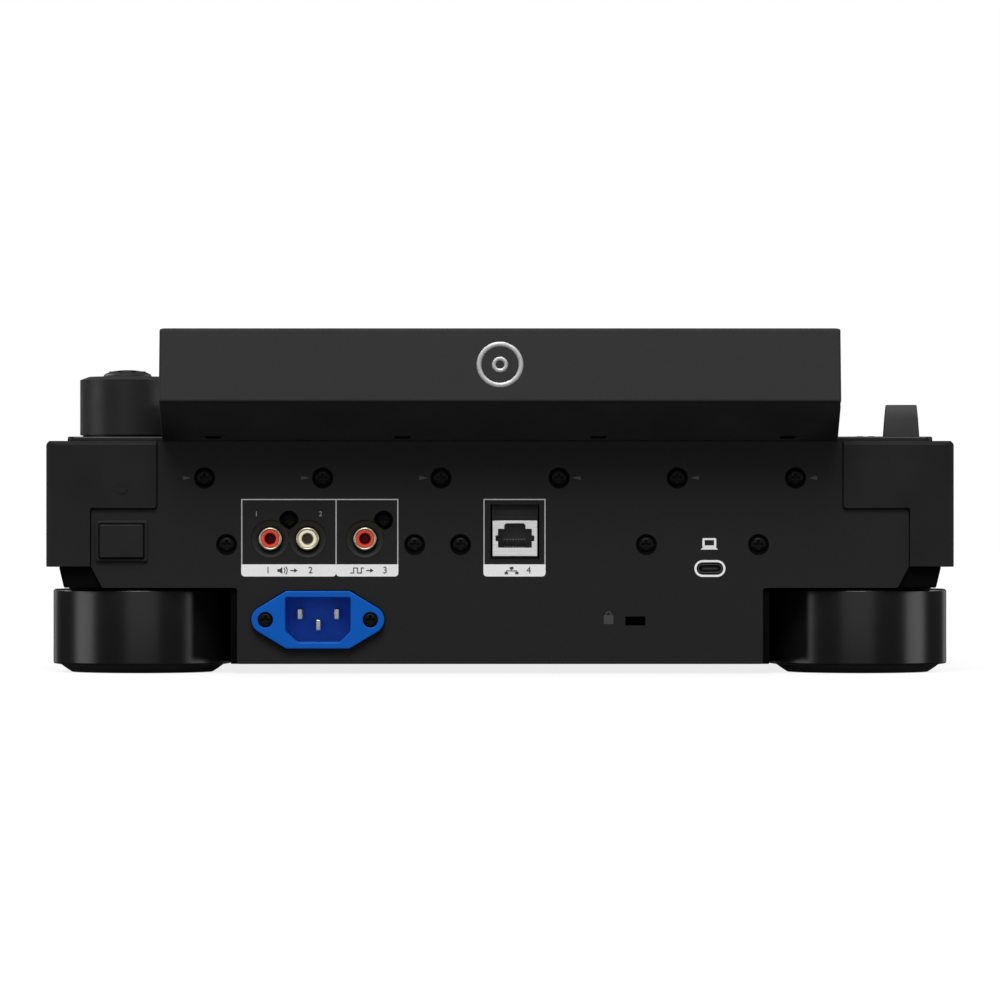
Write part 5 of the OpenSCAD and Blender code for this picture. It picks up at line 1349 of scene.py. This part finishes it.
@dataclass
class Power(Assembly):
    """Mains inlet and power switch."""

    ear_x: float = 19.0 * MM
    ear_radius: float = 5.4 * MM
    flange: Flat = (23.6 * MM, 21.6 * MM)
    cavity: Flat = (23.6 * MM, 16.2 * MM)
    cavity_cut: float = 4.0 * MM
    wall: float = 1.6 * MM
    hole_radius: float = 2.75 * MM
    inset: float = 0.33 * MM

    def build(self) -> None:
        """Make the inlet with a black rim of painted shadow round its flange, and soften its blades, the
        switch and its button.
        """
        low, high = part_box("mains_inlet")
        self.middle, _, self.height = middle("mains_inlet")
        self.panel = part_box("rear_panel")[1].y
        self.inlet(low.y, high.y)
        self.soften("inlet_pins", BLADE, 0.42 * MM, 3)
        # A black sheet a little wider than the flange: painted contact shadow round its edge.
        sheet = plate("inlet_contact_shadow", self.outline(0.0), (self.middle, self.panel + 0.3 * MM, self.height),
                      0.28 * MM)
        hole = block("hole", (self.middle - 13 * MM, self.panel - MM, self.height - 9 * MM),
                     (self.middle + 13 * MM, self.panel + MM, self.height + 9 * MM))
        self.add(cut(sheet, hole), SHADE_BLACK, "mains_inlet")
        self.soften("power_switch", SWITCH, 0.3 * MM, 3)
        self.soften("power_button", SWITCH, 0.4 * MM, 3)
        self.shadow_gap()

    def shadow_gap(self) -> None:
        """Paint the shade in the gap between the switch's frame and its button: a black ring."""
        low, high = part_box("power_button")
        x, _, z = middle("power_button")
        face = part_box("power_switch")[1].y + 0.06 * MM
        wide, tall = high.x - low.x, high.z - low.z
        ring = plate("switch_gap_shade", rounded_rect(wide + MM, tall + MM, 0.5 * MM), (x, face, z), 0.1 * MM)
        inside = rounded_rect(wide - 0.2 * MM, tall - 0.2 * MM, 0.4 * MM)
        self.add(cut(ring, plate("hole", inside, (x, face + MM, z), 3 * MM)), SHADE_BLACK, "power_switch")

    def outline(self, inset: float) -> list[Flat]:
        """Outline of the flange about its middle: a rectangle drawn out to two round ears."""
        r = self.ear_radius - inset
        wide, tall = (side / 2 - inset for side in self.flange)
        reach, swing = math.hypot(self.ear_x - wide, tall), math.atan2(tall, self.ear_x - wide)
        turn = math.degrees(math.pi - swing - math.acos(r / reach))
        side = [(wide, tall), *arc((self.ear_x, 0.0), r, turn, -turn, 20), (wide, -tall)]
        return [*side, *[(-x, -y) for x, y in side]]

    def mouth(self, grow: float) -> list[Flat]:
        """Outline of the cavity, its two lower corners cut off."""
        x, z = (side / 2 + grow for side in self.cavity)
        c = self.cavity_cut
        return eased([(x, z), (-x, z), (-x, c - z), (c - x, -z), (x - c, -z), (x, c - z)], 0.8 * MM)

    def inlet(self, back: float, front: float) -> None:
        """Mould the inlet: a flange with two screw holes in front of a tub."""
        x, z, seat = self.middle, self.height, self.panel + 0.5 * MM
        flange = plate("inlet_body", self.outline(self.inset), (x, front, z), front - self.panel)
        tub = plate("tub", self.mouth(self.wall), (x, seat, z), seat - back)
        hollow = plate("hollow", self.mouth(0.0), (x, front + MM, z), MM + front - back - self.wall)
        holes = [rod("hole", (x + s * self.ear_x, front + MM, z), self.hole_radius, 12 * MM, Axis.BACK, 40)
                 for s in (-1, 1)]
        flange = cut(flange, copy_of(hollow, (0, 0, 0)), *holes)
        body = joined("inlet_body", [rounded(flange, 0.45 * MM, 3), cut(tub, hollow)])
        self.add(body, BLUE, "mains_inlet", stands_for=True)


@dataclass
class Display(Assembly):
    """Tilted display: coated housing on its wedge, bezel, glass and panel."""

    tilt: float = math.radians(12.0)
    sign_radius: float = 8.4 * MM
    sign_line: float = 1.7 * MM
    sign_hub: Flat = (2.9 * MM, 1.5 * MM)
    sign_rise: float = 0.3 * MM
    sign_drop: float = 13.2 * MM

    def build(self) -> None:
        """Make every piece of the display."""
        self.soften("display_base", BASE, 0.6 * MM)
        self.soften("display_housing", HOUSING, 0.9 * MM, 4)
        self.soften("display_bezel", BEZEL, 0.3 * MM)
        self.soften("touch_glass", SCREEN_GLASS, 0.2 * MM)
        self.carry("lcd_panel", LCD)
        self.disc_sign()

    def disc_sign(self) -> None:
        """Set a plain bright disc sign, a ring round a small ring, on the housing's back."""
        middle_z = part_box("display_housing")[1].z - self.sign_drop
        r, w, rise = self.sign_radius, self.sign_line, self.sign_rise
        hub, hub_in = self.sign_hub
        rings = []
        for inner, outer in ((r - w, r), (hub_in, hub)):
            section = [(inner, -rise), (outer, -rise), (outer, rise * 0.6), (outer - rise, rise),
                       (inner + rise, rise), (inner, rise * 0.6), (inner, -rise)]
            rings.append(lathe("ring", section, (0, 0, 0), Axis.UP, 96))
        sign = joined("disc_sign", rings)
        sign.rotation_euler = (self.tilt - math.pi / 2, 0, 0)
        sign.location = (0, self.back_face_y(middle_z), middle_z)
        self.add(smoothed(settle(sign, "disc_sign")), SIGN, "display_housing")

    def back_face_y(self, height: float) -> float:
        """Depth of the housing's slanted back face at a height."""
        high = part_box("display_housing")[1]
        low_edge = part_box("display_base")[1].z
        return high.y - max(0.0, height - low_edge) * math.tan(self.tilt)


@dataclass
class JogDial(Assembly):
    """Jog dial: dimpled rubber rim, turned plate, hub, slotted disc and the eye in the middle."""

    plate_tone: Point = (0.035, 0.035, 0.036)
    ring_margin: float = 2.0 * MM
    ring_width: float = 2.6 * MM
    tick_count: int = 24
    tick_span: Flat = (6.6 * MM, 4.4 * MM)
    tick_half: float = 0.25 * MM

    def build(self) -> None:
        """Make every piece of the dial."""
        self.soften("jog_rim", GRIP, 0.45 * MM, 2, 30)
        self.soften("jog_plate", Turned("dial_plate", self.plate_tone, top_of("jog_rim")), 0.35 * MM)
        self.soften("jog_hub", INNER, 0.3 * MM)
        self.carry("encoder_disc", INNER_METAL)
        self.soften("jog_base", INNER, 0.3 * MM)
        self.soften("jog_display", EYE, 0.3 * MM)
        self.eye_lamps()

    def eye_lamps(self) -> None:
        """Lay the lamp ring and the plain markers on the eye's cover."""
        low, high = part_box("jog_display")
        x, y, top = top_of("jog_display")
        r, t = (high.x - low.x) / 2 - self.ring_margin, PRINT_RISE
        ring = flat_ring("lamp_ring", (r - self.ring_width, r), (-t, 0.0), (x, y, top + t * 0.5))
        self.add(ring, LAMP_OFF, "jog_display")
        inward, outward = self.tick_span
        ticks = []
        for i in range(self.tick_count):
            tick = block("tick", (r - inward, -self.tick_half, -t), (r - outward, self.tick_half, t))
            tick.rotation_euler = (0, 0, 2 * math.pi * i / self.tick_count)
            tick.location = (x, y, top)
            ticks.append(settle(tick, "tick"))
        self.add(joined("eye_ticks", ticks), INK_DECK, "jog_display")


@dataclass
class Keys(Assembly):
    """Cue pads, loop keys, small keys, rockers and the two round buttons."""

    pads: int = 8
    pad_edge: float = 0.5 * MM
    key_edge: float = 0.35 * MM
    lamp_line: float = 0.7 * MM
    pad_frame: Flat = (22.0 * MM, 9.6 * MM)
    pad_digit: float = 4.2 * MM
    button_ring: Flat = (14.6 * MM, 1.3 * MM)
    sign_half: float = 2.8 * MM
    small: tuple[str, ...] = ("loop_in_key", "loop_out_key", "loop_exit_key", "sync_key", "master_key")
    slim: tuple[str, ...] = ("slip_key", "quantize_key")
    rockers: tuple[str, ...] = ("track_rocker", "search_rocker")

    def build(self) -> None:
        """Make every key."""
        for index in range(1, self.pads + 1):
            node = f"hot_cue_{index}"
            self.soften(node, CUE_PAD, self.pad_edge, 3)
            self.lamp_frame(node)
            self.digit_on(node, str(index))
        for node in self.small:
            self.soften(node, KEY, self.key_edge, 3)
            self.lamp_bar(node)
        for node in self.slim:
            self.soften(node, KEY, 0.25 * MM)
        for node in self.rockers:
            self.soften(node, KEY, self.key_edge, 3)
            self.rocker_arrows(node)
        self.round_button("play_button", LAMP_GREEN)
        self.round_button("cue_button", LAMP_AMBER)
        self.button_sign("play_button", "play_sign", (-4.5, 0.2), ((1.6, 2.8), (3.9, 5.1)))
        self.button_sign("cue_button", "cue_sign", (3.4, -1.4), ((-3.4, -2.2),))

    def lamp_frame(self, node: str) -> None:
        """Lay a thin light-guide frame along a pad's edge."""
        (wide, deep), line = self.pad_frame, self.lamp_line
        x, y, top = top_of(node)
        sheet = deck_print(f"{node}_lamp", rounded_rect(wide, deep, 1.4 * MM), (x, y, top))
        hole = plate("hole", rounded_rect(wide - 2 * line, deep - 2 * line, MM), (x, y, top - MM), 2 * MM,
                     Axis.UP)
        self.add(cut(sheet, hole), LAMP_OFF, node)

    def digit_on(self, node: str, text: str) -> None:
        """Print a plain number on a pad."""
        self.add(numeral(f"{node}_digit", text, self.pad_digit, top_of(node), Axis.UP), INK, node)

    def lamp_bar(self, node: str) -> None:
        """Lay a short light guide on a key."""
        low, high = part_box(node)
        outline = stadium(min(8 * MM, (high.x - low.x) * 0.45), 1.2 * MM)
        self.add(deck_print(f"{node}_lamp", outline, top_of(node)), LAMP_OFF, node)

    def rocker_arrows(self, node: str) -> None:
        """Print plain arrows on a rocker: back at the left, on at the right."""
        x, y, top = top_of(node)
        signs = []
        for side in (-1, 1):
            arrow = [(side * 1.2 * MM, 0), (-side * 0.9 * MM, 1.3 * MM), (-side * 0.9 * MM, -1.3 * MM)]
            signs += [deck_print("arrow", arrow, (x + side * 10 * MM + step * MM, y, top))
                      for step in (-0.9, 0.9)]
        self.add(joined(f"{node}_signs", signs), INK, node)

    def round_button(self, node: str, lamp: Lamp) -> None:
        """Soften a round button and lay its lamp ring round the top."""
        self.soften(node, SMOKE, 0.5 * MM, 3)
        (r, w), rise = self.button_ring, PRINT_RISE
        self.add(flat_ring(f"{node}_lamp", (r - w, r), (-rise, rise), top_of(node)), lamp, node)

    def button_sign(self, node: str, name: str, arrow: Flat, bars: Sequence[Flat]) -> None:
        """Print a triangle with upright bars on a round button.

        Args:
            node: The button's CAD node.
            name: Name of the print.
            arrow: Base and tip of the triangle, in millimetres from the middle.
            bars: Left and right edge of each bar, in millimetres from the middle.
        """
        (x, y, top), (base, tip) = top_of(node), arrow
        half, low, high = self.sign_half, top - PRINT_RISE, top - PRINT_RISE + 2 * PRINT_RISE
        rise = half if base < tip else -half
        triangle = [(base * MM, rise), (base * MM, -rise), (tip * MM, 0)]
        pieces = [deck_print("arrow", triangle, (x, y, top))]
        pieces += [block("bar", (x + left * MM, y - half, low), (x + right * MM, y + half, high))
                   for left, right in bars]
        self.add(joined(name, pieces), INK, node)


@dataclass
class Knobs(Assembly):
    """Selector knob, dial-feel knob and direction lever."""

    dome_rise: float = 2.6 * MM
    chamfer: Flat = (1.25 * MM, 3.4 * MM)
    cap_radius: float = 9.2 * MM
    shaft: float = 3.05 * MM
    boss: Flat = (12.0 * MM, 0.35 * MM)
    skirt: float = 0.8 * MM
    ring: Flat = (12.6 * MM, 1.3 * MM)
    dimples: int = 8
    dimple_at: float = 6.2 * MM

    def build(self) -> None:
        """Make the knobs and their inner parts."""
        self.selector()
        self.carry("selector_shaft", INNER_METAL)
        self.carry("selector_collar", INNER)
        self.soften("selector_encoder", INNER_METAL, 0.2 * MM)
        self.soften("jog_adjust_knob", KNOB, 0.3 * MM, 2, 40)
        self.soften("direction_lever", LEVER, 0.3 * MM, 3)
        self.soften("lever_switch", INNER, 0.2 * MM)
        self.marker_line()

    def selector(self) -> None:
        """Spin the selector's knob with its domed cap, and the ring that it stands over."""
        low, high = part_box("selector_knob")
        x, y, _ = middle("selector_knob")
        r, top = (high.x - low.x) / 2, high.z - self.dome_rise
        c, wide = self.chamfer
        cap = self.cap_radius
        dome = [(cap * math.cos(math.radians(a)), top + self.dome_rise * math.sin(math.radians(a)) ** 0.9)
                for a in range(0, 91, 9)]
        boss, drop = self.boss
        skirt, under = r - self.skirt, low.z + 2 * MM
        profile = [(self.shaft, under), (self.shaft + MM, low.z - drop), (boss, low.z - drop), (boss, under),
                   (skirt, under), (skirt, low.z), (r - 0.2 * MM, low.z), (r, low.z + 0.2 * MM),
                   (r, top - c), (r - wide, top), (cap, top), *dome[1:]]
        knob = lathe("selector_cap", profile, (x, y, 0), Axis.UP, 96)
        self.add(smoothed(knob, 20), KNOB, "selector_knob", stands_for=True)
        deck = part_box("control_plate")[1].z
        (inner, rise), outer = self.ring, skirt - 0.3 * MM
        ring = flat_ring("selector_ring", (inner, outer), (deck, deck + rise), (x, y, 0))
        self.add(ring, KNOB, "control_plate")
        # Black spots on the cap: painted shade where the cap's dimples are.
        dimples = []
        for i in range(self.dimples):
            angle = math.radians(90 + (i + 0.5) * 360 / self.dimples)
            spot = x + self.dimple_at * math.cos(angle), y + self.dimple_at * math.sin(angle), top - MM
            dimples.append(rod("spot", spot, 1.1 * MM, 3.05 * MM, sides=20))
        self.add(joined("cap_spot_shade", dimples), SHADE_BLACK, "selector_knob")

    def marker_line(self) -> None:
        """Print the pale line on the dial-feel knob."""
        x, y, top = top_of("jog_adjust_knob")
        line = block("knob_marker", (x - 0.4 * MM, y + 1.5 * MM, top - PRINT_RISE),
                     (x + 0.4 * MM, y + 5.5 * MM, top + PRINT_RISE))
        self.add(line, INK, "jog_adjust_knob")


@dataclass
class TempoSlider(Assembly):
    """Tempo slider: cap, carriage, body and the scale beside its slot."""

    marks: int = 21
    travel: float = 100.0 * MM
    long_mark: float = 4.2 * MM
    short_mark: float = 2.4 * MM

    def build(self) -> None:
        """Make the slider's pieces."""
        self.soften("tempo_cap", CAP, 0.45 * MM, 3)
        self.carry("tempo_carriage", INNER_METAL)
        self.soften("fader_body", INNER_METAL, 0.2 * MM)
        low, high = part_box("tempo_cap")
        _, y, top = top_of("tempo_cap")
        line = block("cap_line", (low.x + 1.4 * MM, y - 0.4 * MM, top - PRINT_RISE),
                     (high.x - 1.4 * MM, y + 0.4 * MM, top + PRINT_RISE))
        self.add(line, INK, "tempo_cap")
        deck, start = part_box("control_plate")[1].z, high.x + 1.6 * MM
        ticks = []
        for i in range(self.marks):
            at = y + (i - (self.marks - 1) / 2) * self.travel / (self.marks - 1)
            length = self.long_mark if i % 5 == 0 else self.short_mark
            ticks.append(block("tick", (start, at - 0.15 * MM, deck - PRINT_RISE),
                               (start + length, at + 0.15 * MM, deck + PRINT_RISE)))
        self.add(joined("tempo_scale", ticks), INK_DECK, "control_plate")


@dataclass
class Boards(Assembly):
    """Circuit boards in their green solder mask."""

    def build(self) -> None:
        """Dress the boards."""
        for node in ("main_board", "power_board", "key_board"):
            self.carry(node, BOARD)


def shader_nodes(tree: bpy.types.NodeTree, *kinds: str) -> list[bpy.types.Node]:
    """Add shader nodes of the named kinds."""
    return [tree.nodes.new(f"ShaderNode{kind}") for kind in kinds]


@dataclass
class Studio:
    """White backdrop, a sky that is brighter above, a key sun, side strips, and the camera behind."""

    camera_place: Point = (0.0, 2.5025, 0.0629)
    lens: float = 228.8
    sky_top: float = 0.62
    sky_low: float = 0.10
    sheen: float = 0.25
    floor_glow: float = 0.82
    floor_matt: float = 0.22
    floor_size: float = 12.0
    key_power: float = 2.1
    key_spread: float = math.radians(28)
    strip_power: float = 58.5
    strip_size: Flat = (3.05, 3.2)
    rim_power: float = 6.0
    low_rim_power: float = 0.25
    front_power: float = 4.3

    def build(self) -> None:
        """Set the stage."""
        self.world()
        self.floor()
        self.lamps()
        self.camera()

    def world(self) -> None:
        """White to the camera and through glass; to surfaces a soft sky that is brighter above."""
        world = bpy.data.worlds.new("studio")
        bpy.context.scene.world = world
        world.use_nodes = True
        tree = world.node_tree
        tree.nodes.clear()
        link = tree.links.new
        output, seen, soft = shader_nodes(tree, "OutputWorld", "Background", "Background")
        rays, way, parts, height = shader_nodes(tree, "LightPath", "TexCoord", "SeparateXYZ", "MapRange")
        limits = {"From Min": -0.15, "From Max": 0.6, "To Min": self.sky_low, "To Max": self.sky_top}
        for key, number in limits.items():
            height.inputs[key].default_value = number
        link(way.outputs["Generated"], parts.inputs["Vector"])
        link(parts.outputs["Z"], height.inputs["Value"])
        sheen, dimmed, both, mix = shader_nodes(tree, "MapRange", "Math", "Math", "MixShader")
        sheen.inputs["To Min"].default_value = 1.0
        sheen.inputs["To Max"].default_value = self.sheen
        link(rays.outputs["Is Glossy Ray"], sheen.inputs["Value"])
        dimmed.operation = "MULTIPLY"
        link(height.outputs["Result"], dimmed.inputs[0])
        link(sheen.outputs["Result"], dimmed.inputs[1])
        link(dimmed.outputs["Value"], soft.inputs["Strength"])
        for sky in (seen, soft):
            sky.inputs["Color"].default_value = (1, 1, 1, 1)
        both.operation = "MAXIMUM"
        link(rays.outputs["Is Camera Ray"], both.inputs[0])
        link(rays.outputs["Is Transmission Ray"], both.inputs[1])
        link(both.outputs["Value"], mix.inputs["Fac"])
        link(soft.outputs["Background"], mix.inputs[1])
        link(seen.outputs["Background"], mix.inputs[2])
        link(mix.outputs["Shader"], output.inputs["Surface"])

    def floor(self) -> None:
        """Lay a floor that looks near white, with a faint shadow, and throws little light back."""
        bpy.ops.object.select_all(action="DESELECT")
        bpy.ops.mesh.primitive_plane_add(size=self.floor_size)
        floor = settle(bpy.context.object, "sweep")
        material = bpy.data.materials.new("sweep_white")
        material.use_nodes = True
        tree = material.node_tree
        tree.nodes.clear()
        link = tree.links.new
        output, rays, white = shader_nodes(tree, "OutputMaterial", "LightPath", "BsdfDiffuse")
        dull, glow, seen, mix = shader_nodes(tree, "BsdfDiffuse", "Emission", "MixShader", "MixShader")
        white.inputs["Color"].default_value = (0.95, 0.95, 0.95, 1)
        dull.inputs["Color"].default_value = (self.floor_matt,) * 3 + (1,)
        glow.inputs["Strength"].default_value = 1.0
        seen.inputs["Fac"].default_value = self.floor_glow
        link(white.outputs["BSDF"], seen.inputs[1])
        link(glow.outputs["Emission"], seen.inputs[2])
        link(rays.outputs["Is Camera Ray"], mix.inputs["Fac"])
        link(dull.outputs["BSDF"], mix.inputs[1])
        link(seen.outputs["Shader"], mix.inputs[2])
        link(mix.outputs["Shader"], output.inputs["Surface"])
        floor.data.materials.append(material)
        floor.visible_glossy = False

    def lamp(self, kind: str, name: str, energy: float, place: Point, aim: Point) -> bpy.types.Object:
        """Add a lamp that looks at a point."""
        bpy.ops.object.select_all(action="DESELECT")
        bpy.ops.object.light_add(type=kind, location=place)
        lamp = bpy.context.object
        lamp.name = name
        lamp.data.energy = energy
        lamp.rotation_euler = (Vector(aim) - Vector(place)).to_track_quat("-Z", "Y").to_euler()
        return lamp

    def sheet(self, name: str, energy: float, place: Point, aim: Point, size: Flat) -> bpy.types.Object:
        """Add a rectangular lamp."""
        lamp = self.lamp("AREA", name, energy, place, aim)
        lamp.data.shape = "RECTANGLE"
        lamp.data.size, lamp.data.size_y = size
        return lamp

    def lamps(self) -> None:
        """Key sun from high behind, strips for the upright highlights, rims, a sheet at the camera."""
        key = self.lamp("SUN", "key", self.key_power, (0.15, 1.6, 2.3), (0, 0, 0))
        key.data.angle = self.key_spread
        for side in (-1, 1):
            self.sheet("strip", self.strip_power, (side * 5.885, 1.42, 0.4), (0, 0.17, 0.4), self.strip_size)
            self.sheet("rim", self.rim_power, (side * 1.0, -0.55, 0.8), (side * 0.13, 0.1, 0.1), (0.5, 0.5))
            self.sheet("low_rim", self.low_rim_power, (side * 0.63, -0.72, 0.12), (side * 0.13, 0.15, 0.05),
                       (0.3, 0.6))
        self.sheet("front", self.front_power, (0.0, 2.9, 0.3), (0, 0.2, 0.3), (2.1, 1.2))

    def camera(self) -> None:
        """Stand the camera straight behind the player, level with the panel's middle."""
        data = bpy.data.cameras.new("rear_view")
        data.lens = self.lens
        data.sensor_width = 36.0
        camera = bpy.data.objects.new("rear_view", data)
        camera.location = self.camera_place
        camera.rotation_euler = (math.pi / 2, 0, math.pi)
        bpy.context.scene.collection.objects.link(camera)
        bpy.context.scene.camera = camera
        bpy.context.scene.view_settings.view_transform = "Standard"


def main() -> None:
    logging.basicConfig(level=logging.INFO, format="%(name)s %(message)s")
    for assembly in (Case(), RearPanel(), Screws(), Feet(), Jacks(), Network(), DataSockets(), Power(),
                     Display(), JogDial(), Keys(), Knobs(), TempoSlider(), Boards()):
        LOG.info("building %s", type(assembly).__name__)
        assembly.build()
    Studio().build()


if __name__ == "__main__":
    main()
